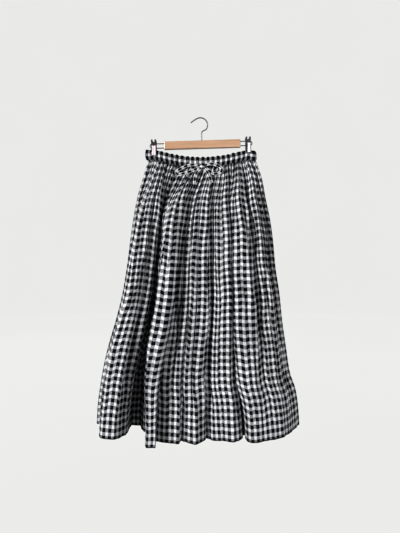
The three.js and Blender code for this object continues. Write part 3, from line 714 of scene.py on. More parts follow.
@dataclass(frozen=True)
class Gingham:
    """Plain-weave cotton in a black and white check, its dark stripes a little the wider."""

    name: str
    pitch: float = 0.02
    dark: tuple[float, float, float, float] = (0.003, 0.0032, 0.005, 1)
    light: tuple[float, float, float, float] = (0.64, 0.645, 0.665, 1)
    dark_share: float = 0.56
    edge: float = 0.00015
    thread: float = 0.00042
    half_tone: float = 0.66
    hem_band: float = 0.0
    wander: float = 0.003
    crush_stretch: float = 0.11
    crush_scale: float = 125
    crush_height: float = 0.006
    crush_strength: float = 0.8

    def build(self) -> bpy.types.Material:
        """Builds the check from the cloth's own UV map.

        A stripe is a triangle wave of the pitch, cut softly at half of the dark share. Where a dark warp
        crosses a light weft, or the other way round, the tone lies between, and single threads of the
        plain weave lie over and under each other as a product of two sines. Noise shifts the stripes a
        little, a dark band can follow the hem's edge, and noise drawn out up the cloth raises its
        crushed lines.

        Returns:
            The material.
        """
        shader = Shader(self.name)
        cloth = shader.cloth_place()
        u, v, _ = shader.parts(cloth)
        drift = shader.math("SUBTRACT", shader.noise(cloth, 160, 3, 0.6), 0.5)
        shift = shader.math("MULTIPLY", drift, self.wander)
        stripes = []
        for across in (u, v):
            moved = shader.math("ADD", shader.math("SUBTRACT", across, self.pitch / 4), shift)
            wave = shader.math("PINGPONG", moved, self.pitch / 2)
            half = self.pitch * self.dark_share / 2
            stripes.append(shader.step(wave, half - self.edge, half + self.edge, 1, 0))
        warp, weft = stripes
        warp_thread = self.slub(shader, u, v, 0.9)
        weft_thread = self.slub(shader, v, u, 0.9)
        over = self.weave(shader, u, v)
        both = shader.math("MULTIPLY", warp, weft)
        either = shader.math("MAXIMUM", warp, weft)
        threads = shader.step(over, 0.2, 0.8, self.half_tone - 0.2, self.half_tone + 0.2)
        one_dark = shader.math("MULTIPLY", either, threads)
        covered = shader.math("MAXIMUM", both, one_dark)
        if self.hem_band > 0:
            doubled = shader.step(v, self.hem_band, self.hem_band + 0.0006, 0.9, 0)
            covered = shader.math("MAXIMUM", covered, doubled)
        woven = shader.mix(covered, self.light, self.dark)
        tone = shader.math("MULTIPLY", warp_thread, weft_thread)
        wash = shader.step(shader.noise(cloth, 9, 3), 0.3, 0.7, 0.93, 1.02)
        shade = shader.math("MULTIPLY", tone, wash)
        tinted = shader.mix(1.0, woven, woven)
        tinted.node.blend_type = "MULTIPLY"
        grey = shader.tree.nodes.new("ShaderNodeCombineColor")
        for socket in grey.inputs[:3]:
            shader.put(socket, shade)
        shader.put(tinted.node.inputs[7], grey.outputs[0])
        shader.set("Base Color", tinted)
        shader.set("Roughness", 0.88)
        shader.set("Sheen Weight", 0.02)
        shader.set("Sheen Roughness", 0.5)
        shader.set("Specular IOR Level", 0.08)
        crinkle = shader.noise(shader.vector(shader.math("MULTIPLY", u, 3.0), v, 0.0), 120, 4, 0.6)
        crushed = shader.vector(u, shader.math("MULTIPLY", v, self.crush_stretch), 0.0)
        lines = shader.noise(crushed, self.crush_scale, 4, 0.6)
        fine = shader.math("MULTIPLY_ADD", over, 0.06, shader.math("MULTIPLY", crinkle, 0.2))
        shader.bump(shader.math("ADD", lines, fine), self.crush_height, self.crush_strength)
        return shader.material

    def weave(self, shader: Shader, u: object, v: object) -> bpy.types.NodeSocket:
        """Plain weave: one where a warp thread lies on top and zero where a weft thread does."""
        across = shader.math("SINE", shader.math("MULTIPLY", u, math.pi / self.thread))
        along = shader.math("SINE", shader.math("MULTIPLY", v, math.pi / self.thread))
        both = shader.math("MULTIPLY", across, along)
        return shader.math("MULTIPLY_ADD", both, 0.5, 0.5)

    def slub(self, shader: Shader, across: object, along: object, least: float) -> bpy.types.NodeSocket:
        """Thicker and paler single threads: noise drawn out along the thread."""
        place = shader.vector(across, shader.math("MULTIPLY", along, 0.04), 0.0)
        return shader.step(shader.noise(place, 1600, 1), 0.35, 0.65, least, 1.03)


@dataclass(frozen=True)
class Beech:
    """Varnished beech with a fine straight grain and short flecks."""

    name: str
    pale: tuple[float, float, float, float] = (0.44, 0.285, 0.185, 1)
    warm: tuple[float, float, float, float] = (0.32, 0.19, 0.115, 1)
    fleck: tuple[float, float, float, float] = (0.3, 0.15, 0.07, 1)

    def build(self) -> bpy.types.Material:
        """Builds the grain from noise drawn out along the bar.

        Returns:
            The material.
        """
        shader = Shader(self.name)
        x, y, z = shader.parts(shader.place())
        drawn = shader.vector(shader.math("MULTIPLY", x, 0.05), y, z)
        grain = shader.noise(drawn, 420, 4, 0.6)
        broad = shader.noise(drawn, 90, 3)
        short = shader.vector(shader.math("MULTIPLY", x, 0.25), y, z)
        flecks = shader.step(shader.noise(short, 900, 1), 0.66, 0.74)
        tone = shader.math("MULTIPLY_ADD", broad, 0.6, shader.math("MULTIPLY", grain, 0.5))
        base = shader.mix(shader.step(tone, 0.35, 0.75), self.pale, self.warm)
        shader.set("Base Color", shader.mix(shader.math("MULTIPLY", flecks, 0.45), base, self.fleck))
        shader.set("Roughness", shader.step(grain, 0.3, 0.7, 0.36, 0.5))
        shader.set("Coat Weight", 0.25)
        shader.set("Coat Roughness", 0.2)
        shader.bump(grain, 0.00012, 0.6)
        return shader.material


@dataclass(frozen=True)
class PlatedSteel:
    """Plated wire that handling has dulled, with faint drawing marks."""

    name: str
    tone: tuple[float, float, float, float] = (0.09, 0.09, 0.095, 1)
    dull: tuple[float, float, float, float] = (0.05, 0.05, 0.052, 1)
    roughness: float = 0.48

    def build(self) -> bpy.types.Material:
        """Builds the plating: a metal whose tone and gloss vary with soft noise.

        Returns:
            The material.
        """
        shader = Shader(self.name)
        place = shader.place()
        mottle = shader.step(shader.noise(place, 180, 4, 0.6), 0.45, 0.75)
        marks = shader.noise(place, 2600, 2)
        shader.set("Base Color", shader.mix(mottle, self.tone, self.dull))
        shader.set("Metallic", 1.0)
        shader.set("Roughness", shader.step(mottle, 0, 1, self.roughness, self.roughness + 0.16))
        shader.bump(marks, 0.00003, 0.5)
        return shader.material


@dataclass(frozen=True)
class PlateWithPaintedReflection:
    """Clip plate with its chrome look painted in: the pale raised panel is a painted reflection, and the
    dark rolled rims and darker shoulders round it are painted shade.
    """

    name: str
    middle: float
    shoulder: float
    panel_left: float
    panel_right: float
    # the pale panel's colour: a painted reflection
    pale: tuple[float, float, float, float]
    # the rims' and shoulders' colour: painted shade
    dark: tuple[float, float, float, float] = (0.035, 0.035, 0.04, 1)

    def build(self) -> bpy.types.Material:
        """Builds the plating: the panel is a band across X that ends below the shoulders, painted pale as a
        reflection and raised by a bump; round it the plate is painted dark as shade.

        Returns:
            The material.
        """
        shader = Shader(self.name)
        x, _, z = shader.parts(shader.place())
        away = shader.math("SUBTRACT", x, self.middle)
        inside_left = shader.step(away, self.panel_left - 0.0003, self.panel_left + 0.0003)
        inside_right = shader.step(away, self.panel_right - 0.0003, self.panel_right + 0.0003, 1, 0)
        below = shader.step(z, self.shoulder - 0.001, self.shoulder + 0.001, 1, 0)
        # mask of the pale painted reflection, which also raises the panel's bump
        panel = shader.math("MULTIPLY", shader.math("MULTIPLY", inside_left, inside_right), below)
        # noise dims the painted reflection towards the painted shade in patches
        mottle = shader.step(shader.noise(shader.place(), 260, 4, 0.6), 0.4, 0.75, 0, 0.35)
        mottled_reflection = shader.mix(mottle, self.pale, self.dark)
        # painted reflection inside the panel, painted shade round it
        shader.set("Base Color", shader.mix(panel, self.dark, mottled_reflection))
        shader.set("Metallic", 0.25)
        shader.set("Roughness", 0.32)
        shader.bump(panel, 0.0008, 0.8)
        return shader.material


@dataclass(frozen=True)
class SoftPad:
    """Pale moulded pad with a fine grip texture."""

    name: str
    tone: tuple[float, float, float, float] = (0.68, 0.53, 0.56, 1)

    def build(self) -> bpy.types.Material:
        """Builds the pad: a matt tone with small ribs across it.

        Returns:
            The material.
        """
        shader = Shader(self.name)
        _, _, z = shader.parts(shader.place())
        ribs = shader.math("SINE", shader.math("MULTIPLY", z, 2 * math.pi / 0.0016))
        speckle = shader.noise(shader.place(), 700, 2)
        shader.set("Base Color", shader.mix(speckle, self.tone, (0.55, 0.43, 0.46, 1)))
        shader.set("Roughness", 0.6)
        shader.bump(ribs, 0.0002, 0.6)
        return shader.material


@dataclass(frozen=True)
class Thread:
    """Twisted sewing thread."""

    name: str
    tone: tuple[float, float, float, float] = (0.03, 0.03, 0.034, 1)

    def build(self) -> bpy.types.Material:
        """Builds the thread: a dark, slightly glossy fibre with a fine twist.

        Returns:
            The material.
        """
        shader = Shader(self.name)
        x, _, z = shader.parts(shader.place())
        twist = shader.math("SINE", shader.math("MULTIPLY", shader.math("ADD", x, z), 2 * math.pi / 0.0005))
        shader.set("Base Color", shader.mix(shader.step(twist, -1, 1), self.tone, (0.09, 0.09, 0.1, 1)))
        shader.set("Roughness", 0.6)
        shader.bump(twist, 0.00005, 0.5)
        return shader.material


@dataclass(frozen=True)
class PaleSurface:
    """Plain pale studio floor and backdrop."""

    name: str
    tone: tuple[float, float, float, float] = (0.84, 0.845, 0.83, 1)
    cloud: tuple[float, float, float, float] = (0.7, 0.7, 0.69, 1)
    matt: tuple[float, float, float, float] = (0.01, 0.01, 0.01, 1)
    glow: float = 0.7

    def build(self) -> bpy.types.Material:
        """Builds a surface that glows evenly in a pale tone, with hardly any variation.

        Returns:
            The material.
        """
        shader = Shader(self.name)
        cloud = shader.noise(shader.place(), 0.7, 2)
        tone = shader.mix(shader.math("MULTIPLY", cloud, 0.1), self.tone, self.cloud)
        shader.set("Base Color", self.matt)
        shader.set("Roughness", 0.95)
        shader.set("Specular IOR Level", 0.1)
        shader.set("Emission Color", tone)
        shader.set("Emission Strength", self.glow)
        return shader.material


@dataclass
class Waist:
    """The line of the waist: how it sags between the clips and where they press it together."""

    left: float = -163.0
    right: float = 169.0
    left_clip: float = -139.0
    right_clip: float = 143.0
    height: float = 30.0
    top_at_clips: float = -94.0
    sag: float = 24.5
    droop_left: float = 2.0
    droop_right: float = 6.0
    half_depth: float = 8.0
    pinched_depth: float = 2.4
    pinch_flat: float = 8.0
    pinch_reach: float = 13.0

    def top(self, x: Array) -> Array:
        """Height of the waistband's top edge: a parabola between the clips, drooping past them."""
        middle = (self.left_clip + self.right_clip) / 2
        across = (x - middle) / ((self.right_clip - self.left_clip) / 2)
        past_left = np.clip((self.left_clip - x) / (self.left_clip - self.left), 0, None)
        past_right = np.clip((x - self.right_clip) / (self.right - self.right_clip), 0, None)
        sag = self.sag * np.clip(1 - across**2, 0, None)
        return self.top_at_clips - sag - self.droop_left * past_left - self.droop_right * past_right

    def pinch(self, x: Array) -> Array:
        """How far the clips press the waist together: 1 under a jaw, fading as a bell beside it."""
        away = np.minimum(np.abs(x - self.left_clip), np.abs(x - self.right_clip))
        return np.exp(-((np.clip(away - self.pinch_flat, 0, None) / self.pinch_reach) ** 2))

    def depth(self, x: Array) -> Array:
        """Half of the waist's depth at x."""
        return lerp(self.half_depth, self.pinched_depth, self.pinch(x))


@dataclass
class Panel:
    """A width of cloth, gathered at the waist and falling in folds to the hem."""

    name: str
    facing: Facing
    lines: tuple[FoldLine, ...]
    creases: tuple[Crease, ...]
    pleats: tuple[Pleat, ...]
    ledges: tuple[Ledge, ...]
    cut_width: float
    waist: Waist
    gathers: int = 32
    columns_per_gather: int = 16
    rows: int = 92
    crest: float = 3.0
    valley: float = 6.0
    gather_drop: float = 0.3
    crowding: float = 0.8
    cloth_length: float = 0.805
    wall: float = 0.001
    seam_gap: float = 0.3
    hem_height: float = -927.0
    hem_lift: float = 13.0
    hem_half_width: float = 300.0
    hem_turn_up: float = 14.0
    hem_behind: float = 0.95
    hem_wall: float = 0.0007
    ledge_half_step: float = 4.5
    knots: Array = field(init=False)
    width: float = field(init=False)

    def __post_init__(self) -> None:
        """Works out the share of the cloth at each fold line from the hem's arc length."""
        places = np.array([(line.x, line.y) for line in self.lines], float)
        lengths = np.concatenate([[0], np.cumsum(np.hypot(*np.diff(places, axis=0).T))])
        self.width = float(lengths[-1])
        self.knots = lengths / self.width

    def sides(self, drops: Array) -> tuple[Array, Array]:
        """X of the left and right side seams at each share of the drop."""
        rows = np.array(SIDE_ROWS)
        both = smooth_curve(rows[:, 0], rows[:, 1:].T, drops)
        return both[0], both[1]

    def hem_share(self, cloth: Array) -> Array:
        """Share of the hem's width at each share of the cloth."""
        x = np.array([line.x for line in self.lines], float)
        return smooth_curve(self.knots, (x - x[0]) / (x[-1] - x[0]), cloth)

    def across(self, cloth: Array, drops: Array) -> Array:
        """X of each share of the cloth at each share of the drop.

        The share of the width is the share of the cloth at the waist, and blends to the hem's share with
        one minus the exponential of ten drops; a slow sine lets the folds wander.

        Args:
            cloth: Shares of the cloth, shape (N,).
            drops: Shares of the drop, shape (M,).

        Returns:
            X in millimetres, shape (M, N).
        """
        t, c = drops[:, None], cloth[None, :]
        settled = 1 - np.exp(-t / 0.1)
        wander = 0.005 * np.sin(np.pi * t) * np.sin(17 * c + 5 * t) * np.sin(np.pi * c)
        share = lerp(c, self.hem_share(cloth)[None, :], settled) + wander
        left, right = self.sides(drops)
        return lerp(left[:, None], right[:, None], share)

    def depths(self, cloth: Array, drops: Array) -> Array:
        """Y of the smooth cloth: each fold line leaves the waist and nears its hem depth as a power
        of the drop, and a smooth curve joins the lines at each height.

        Args:
            cloth: Shares of the cloth, shape (N,).
            drops: Shares of the drop, shape (M,).

        Returns:
            Y in millimetres, shape (M, N).
        """
        hem_y = np.array([line.y for line in self.lines], float)
        opens = np.array([line.opens for line in self.lines], float)
        waist_x = lerp(SIDE_ROWS[0].left, SIDE_ROWS[0].right, self.knots)
        waist_y = self.facing.value * self.waist.depth(waist_x)
        waist_y[[0, -1]] = 0
        return smooth_curve(self.knots, lerp(waist_y, hem_y, drops[:, None] ** opens), cloth)

    def heights(self, cloth: Array, drops: Array) -> Array:
        """Z of the cloth: a straight blend from the waistband's lower edge to the hem."""
        ends = self.across(cloth, np.array([0.0, 1.0]))
        top = self.waist.top(ends[0]) - self.waist.height - self.seam_gap
        hem = self.hem_height + self.hem_lift * (ends[1] / self.hem_half_width) ** 2
        return lerp(top, hem, drops[:, None])

    def strength(self, place: Array, drops: Array) -> Array:
        """How strong the fine gathers are, from 0 to 1: uneven across and fading on the way down."""
        q, t = place[None, :], drops[:, None]
        uneven = 0.8 + 0.2 * np.sin(33 * q + 1.3)
        reach = self.gather_drop * (1 + 0.35 * np.sin(26 * q + 0.5) + 0.2 * np.sin(61 * q))
        at_seams = smoothstep(np.minimum(q, 1 - q), 0, 0.03)
        waist_x = lerp(SIDE_ROWS[0].left, SIDE_ROWS[0].right, q)
        at_clips = 1 - 0.75 * self.waist.pinch(waist_x) * np.exp(-t / 0.05)
        return uneven * np.exp(-((t / reach) ** 1.5)) * at_seams * at_clips

    def smooth_grid(self, cloth: Array, drops: Array) -> tuple[Array, Array, Array]:
        """The smooth cloth with its outward and sideways directions.

        Args:
            cloth: Shares of the cloth, shape (N,).
            drops: Shares of the drop, shape (M,).

        Returns:
            Points, outward directions and directions along the row, each of shape (M, N, 3).
        """
        points = np.stack(
            [self.across(cloth, drops), self.depths(cloth, drops), self.heights(cloth, drops)], axis=-1
        )
        along = np.zeros_like(points)
        along[..., :2] = np.gradient(points[..., :2], axis=1)
        along = unit(along)
        outward = np.stack([-along[..., 1], along[..., 0], np.zeros_like(along[..., 0])], axis=-1)
        outward *= self.facing.value
        outward[:, 0] = (-1, 0, 0)
        outward[:, -1] = (1, 0, 0)
        return points, outward, along

    def rise(self, place: Array, cloth: Array, drops: Array) -> Array:
        """Height of the gathers, creases, small waves, pleats and lapped folds over the smooth cloth.

        A gather is a sine, taller inwards than outwards. A crease is a bell across the cloth times half
        a sine squared along it. Small waves are sines that sway on the way down. A pleat is a flat bell
        inwards with a low bell outwards beside it.

        Args:
            place: Evenly counted places, shape (N,).
            cloth: Shares of the cloth, shape (N,).
            drops: Shares of the drop, shape (M,).

        Returns:
            Height outwards in millimetres, shape (M, N).
        """
        wave = np.sin(2 * np.pi * self.gathers * place)[None, :]
        height = self.strength(place, drops) * np.where(wave > 0, self.crest, self.valley) * wave
        t, c = drops[:, None], cloth[None, :]
        for crease in self.creases:
            along = np.clip((t - crease.top) / (crease.bottom - crease.top), 0, 1)
            middle = crease.cloth + crease.lean * along + 0.002 * np.sin(9 * along)
            bell = np.exp(-(((c - middle) * self.width / crease.width) ** 2))
            height = height + crease.height * bell * np.sin(np.pi * along**0.7) ** 2
        inside = smoothstep(np.minimum(c, 1 - c), 0, 0.03)
        grown = smoothstep(t, 0.04, 0.25) * (1 - 0.55 * smoothstep(t, 0.8, 1))
        for ripple in RIPPLES:
            angle = 2 * np.pi * ripple.waves * c + ripple.phase + self.facing.value
            sway = ripple.drift * np.sin(2 * np.pi * ripple.turns * t + 9 * c + ripple.phase)
            patchy = 0.6 + 0.4 * np.sin(11 * c * ripple.turns + 7 * t + ripple.phase)
            height = height + ripple.height * patchy * np.sin(angle + sway) * inside * grown
        for pleat in self.pleats:
            s, amount = self.pleat_place(pleat, c, t)
            side = np.sign(pleat.overhang)
            trough = np.exp(-np.abs(s / (1 + 0.35 * side * np.tanh(2 * s))) ** 2.4)
            lip = np.exp(-(((s - 1.7 * side) / 0.9) ** 2))
            height = height + amount * inside * (0.25 * lip - trough) * pleat.depth
        return height + self.steps_out(c, t) * inside

    def steps_out(self, cloth: Array, drops: Array) -> Array:
        """Height of the lapped folds: a quick step out at each ledge, and a square law back to the next.

        Args:
            cloth: Shares of the cloth, as a row.
            drops: Shares of the drop, as a column.

        Returns:
            Height outwards in millimetres, shape (M, N).
        """
        lines = [lerp(ledge.top_cloth, ledge.bottom_cloth, drops) for ledge in self.ledges]
        ends = lines[1:] + [np.ones_like(drops)]
        grown = smoothstep(drops, 0.02, 0.22)
        late = smoothstep(drops, 0.6, 0.95)
        half = self.ledge_half_step / self.width
        total = np.zeros((drops.size, cloth.size))
        for ledge, line, end in zip(self.ledges, lines, ends):
            step = smoothstep((cloth - line) / half, -1, 1)
            fall = np.clip((cloth - line) / (end - line), 0, 1) ** 2
            total = total + lerp(ledge.height, ledge.hem_height, late) * (step - fall)
        return total * grown

    def pleat_place(self, pleat: Pleat, cloth: Array, drops: Array) -> tuple[Array, Array]:
        """Where the cloth lies in a pleat and how strong the pleat is there.

        Args:
            pleat: The pleat.
            cloth: Shares of the cloth, as a row.
            drops: Shares of the drop, as a column.

        Returns:
            The place across, in widths of the pleat from its middle, and the strength from 0 to 1.
        """
        along = np.clip((drops - pleat.top) / (pleat.bottom - pleat.top), 0, 1)
        sway = 0.0025 * np.sin(7 * along + 40 * pleat.top_cloth)
        middle = lerp(pleat.top_cloth, pleat.bottom_cloth, along) + sway
        width = pleat.width * (0.85 + 0.3 * along)
        strength = smoothstep(along, 0, 0.25) * smoothstep(1 - along, 0, 0.3)
        return (cloth - middle) * self.width / width, strength

    def lean(self, cloth: Array, drops: Array) -> Array:
        """How far the pleats' lips lean sideways over their troughs, in millimetres, shape (M, N)."""
        t, c = drops[:, None], cloth[None, :]
        total = np.zeros((len(drops), len(cloth)))
        for pleat in self.pleats:
            s, amount = self.pleat_place(pleat, c, t)
            side = np.sign(pleat.overhang)
            total = total - amount * pleat.overhang * np.exp(-(((s - 1.2 * side) / 1.1) ** 2))
        return total

    def cloth_share(self, place: Array) -> Array:
        """Share of the cloth at an evenly counted place: some gathers hold more cloth than others."""
        return place + 0.008 * np.sin(4 * np.pi * place) + 0.004 * np.sin(10 * np.pi * place)

    def face(self, place: Array, drops: Array, outward_by: float = 0.0) -> tuple[Array, Array, Array]:
        """Points of the finished cloth.

        Each gather's flanks are crowded together and its crest and valley spread by a shift along the
        row of minus a sine of twice the gather's angle.

        Args:
            place: Evenly counted places, shape (N,).
            drops: Shares of the drop, shape (M,).
            outward_by: How far the points are moved out of the wall's middle, in millimetres.

        Returns:
            Points (M, N, 3), outward directions (M, N, 3) and shares of the cloth (N,).
        """
        cloth = self.cloth_share(place)
        points, outward, along = self.smooth_grid(cloth, drops)
        step = np.linalg.norm(np.gradient(points[..., :2], axis=1), axis=-1) / np.gradient(place)
        shift = -self.crowding * step / self.gathers / (4 * np.pi)
        shift = shift * self.strength(place, drops) * np.sin(4 * np.pi * self.gathers * place)
        shift = shift + self.lean(cloth, drops) * smoothstep(np.minimum(cloth, 1 - cloth), 0, 0.03)
        points = points + along * shift[..., None]
        points = points + outward * (self.rise(place, cloth, drops) + outward_by)[..., None]
        points[:, [0, -1], 1] = self.facing.value * self.seam_gap / 2
        return points, outward, cloth

    def uvs(self, points: Array, cloth: Array, drops: Array) -> Array:
        """Cloth coordinates in metres: across the cut from its left edge, and up from the hem's edge.

        Each gather holds its own share of the cloth, laid out evenly along the gather's real curve.

        Args:
            points: The cloth's points, shape (M, N, 3), a whole number of columns for each gather.
            cloth: Shares of the cloth, shape (N,).
            drops: Shares of the drop, shape (M,).

        Returns:
            UV, shape (M, N, 2).
        """
        steps = np.linalg.norm(np.diff(points, axis=1), axis=-1).reshape(len(drops), self.gathers, -1)
        inside = np.cumsum(steps, axis=-1) / steps.sum(-1, keepdims=True)
        ends = cloth[:: steps.shape[-1]]
        held = ends[None, :-1, None] + np.diff(ends)[None, :, None] * inside
        u = np.concatenate([np.zeros((len(drops), 1)), held.reshape(len(drops), -1)], axis=1)
        v = ((1 - drops) * self.cloth_length + 0.0015)[:, None] + self.slip(cloth, drops)
        return np.stack([u * self.cut_width, v], axis=-1)

    def slip(self, cloth: Array, drops: Array) -> Array:
        """How far the weft has slipped up or down in each fold: crossed sines, none at the hem."""
        t, c = drops[:, None], cloth[None, :]
        free = smoothstep(1 - t, 0, 0.12)
        broad = 0.0022 * np.sin(2 * np.pi * 12 * c + 3 * t + self.facing.value)
        middle = 0.0018 * np.sin(2 * np.pi * 27 * c + 5 * t + 1.3) * np.sin(9 * c + 4 * t)
        fine = 0.0011 * np.sin(2 * np.pi * 61 * c + 11 * t + 0.4)
        return free * (broad + middle + fine)

    def drops(self) -> Array:
        """Shares of the drop at the rows, closer together near the waist."""
        even = np.linspace(0, 1, self.rows)
        return even * (0.55 + 0.45 * even)

    def build(self, finish: bpy.types.Material, thread: bpy.types.Material) -> None:
        """Args:
            finish: The cloth's material.
            thread: The sewing thread's material.
        """
        place = np.linspace(0, 1, self.gathers * self.columns_per_gather + 1)
        drops = self.drops()
        points, _, cloth = self.face(place, drops)
        behind = self.facing is Facing.BACK
        panel = grid_surface(self.name, points, self.uvs(points, cloth, drops), inside_out=behind)
        wall = panel.modifiers.new("wall", "SOLIDIFY")
        wall.thickness = self.wall
        wall.offset = 0
        wall.use_even_offset = False
        panel.data.materials.append(finish)
        drop = self.waist.top(np.array(0.0)) - self.waist.height - self.hem_height
        start = 1 - self.hem_turn_up / float(drop)
        hem = self.hem_fold(place, start, finish)
        stitches = self.stitches(start, thread)
        for piece in (panel, hem, stitches):
            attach(piece, "root")
        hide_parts(f"{self.facing.name.lower()}_panel")
        arc = np.linalg.norm(np.diff(points[self.rows // 2], axis=0), axis=-1).sum() * MM
        log.info("%s: cut %.3f m wide, %.3f m on the curve halfway", self.name, self.cut_width, arc)

    def hem_fold(self, place: Array, start: float, finish: bpy.types.Material) -> bpy.types.Object:
        """The turned-up hem inside the panel, a strip just behind its lowest rows.

        Args:
            place: Evenly counted places.
            start: Share of the drop where the turned-up edge lies.
            finish: The cloth's material.

        Returns:
            The strip.
        """
        drops = np.linspace(start, 0.9995, 4)
        points, _, cloth = self.face(place[::2], drops, -self.hem_behind)
        strip = grid_surface(
            f"{self.name}_hem",
            points,
            self.uvs(points, cloth, drops),
            inside_out=self.facing is Facing.BACK,
        )
        wall = strip.modifiers.new("wall", "SOLIDIFY")
        wall.thickness = self.hem_wall
        wall.offset = 0
        strip.data.materials.append(finish)
        return strip

    def stitches(self, start: float, thread: bpy.types.Material) -> bpy.types.Object:
        """A row of small stitches on the hem, each a short six-sided bead that dips in at its ends.

        Args:
            start: Share of the drop where the turned-up edge lies.
            thread: The sewing thread's material.

        Returns:
            The joined stitches.
        """
        length, gap, radius = 2.4, 1.0, 0.26
        lift, above_fold = 0.62, 0.002
        count = int((self.width - 20) / (length + gap))
        places = np.linspace(0.01, 0.99, count)
        fine = np.linspace(0, 1, self.gathers * self.columns_per_gather + 1)
        drops = np.array([start + above_fold])
        points, outward, _ = self.face(fine, drops, lift)
        line = np.stack([np.interp(places, fine, points[0, :, axis]) for axis in range(3)], axis=-1)
        out = unit(np.stack([np.interp(places, fine, outward[0, :, axis]) for axis in range(3)], axis=-1))
        along = unit(np.gradient(line, axis=0))
        up = np.cross(along, out)
        return joined_stitches(f"{self.name}_stitches", line, along, out, up, length, radius, thread)


def joined_stitches(
    name: str,
    centres: Array,
    along: Array,
    out: Array,
    up: Array,
    length: float,
    radius: float,
    thread: bpy.types.Material,
) -> bpy.types.Object:
    """Many equal stitches as one mesh: each is a bead of three six-sided rings with pointed ends.

    Args:
        name: The piece's name.
        centres: Middles of the stitches, shape (S, 3).
        along: Their directions, shape (S, 3).
        out: Outward directions, shape (S, 3).
        up: Directions across, shape (S, 3).
        length: Length of one stitch in millimetres.
        radius: Half of the thread's thickness in millimetres.
        thread: The sewing thread's material.

    Returns:
        The joined mesh.
    """
    sides = 6
    angle = 2 * np.pi * np.arange(sides) / sides
    levels = np.array([-0.5, -0.3, 0.3, 0.5])
    sizes = np.array([0.35, 1.0, 1.0, 0.35])
    lifts = np.array([-0.9, 0, 0, -0.9]) * radius
    a = np.repeat(levels * length, sides)
    o = (sizes[:, None] * radius * np.cos(angle) + lifts[:, None]).reshape(-1)
    w = (sizes[:, None] * radius * np.sin(angle)).reshape(-1)
    points = (
        centres[:, None]
        + along[:, None] * a[None, :, None]
        + out[:, None] * o[None, :, None]
        + up[:, None] * w[None, :, None]
    )
    r, c = np.meshgrid(np.arange(len(levels) - 1), np.arange(sides), indexing="ij")
    corners = ((r, c), (r, c + 1), (r + 1, c + 1), (r + 1, c))
    quads = np.stack([row * sides + column % sides for row, column in corners], axis=-1).reshape(-1, 4)
    last = (len(levels) - 1) * sides
    start_cap = np.array([[0, 3, 2, 1], [0, 5, 4, 3]])
    end_cap = last + np.array([[0, 1, 2, 3], [0, 3, 4, 5]])
    one = np.concatenate([quads, start_cap, end_cap])
    every = (one[None] + (np.arange(len(centres)) * points.shape[1])[:, None, None]).reshape(-1, 4)
    piece = make_object(name, points.reshape(-1, 3), every, np.zeros((len(every), 4, 2)), closed=True)
    piece.data.materials.append(thread)
    return piece


def back_lines() -> tuple[FoldLine, ...]:
    """The back's fold lines: the side seams and four lines for each inward fold."""
    first, last = SIDE_ROWS[-1].left, SIDE_ROWS[-1].right
    lines = [
        FoldLine(first, 0, 0.75),
        FoldLine(first + 2, 7, 0.75),
        FoldLine(first + 15, BACK_PLANE - 6, 0.75),
    ]
    for fold in BACK_FOLDS:
        bottom = BACK_PLANE - fold.depth
        near = fold.half_width * 0.4
        lines.append(FoldLine(fold.x - fold.half_width, BACK_PLANE, 0.75))
        lines.append(FoldLine(fold.x - near + fold.lean, bottom + 1.5, fold.opens))
        lines.append(FoldLine(fold.x + near + fold.lean, bottom, fold.opens))
        lines.append(FoldLine(fold.x + fold.half_width, BACK_PLANE - 1, 0.75))
    lines.append(FoldLine(last - 12, BACK_PLANE - 8, 0.75))
    lines.append(FoldLine(last - 2, 7, 0.75))
    lines.append(FoldLine(last, 0, 0.75))
    return tuple(lines)


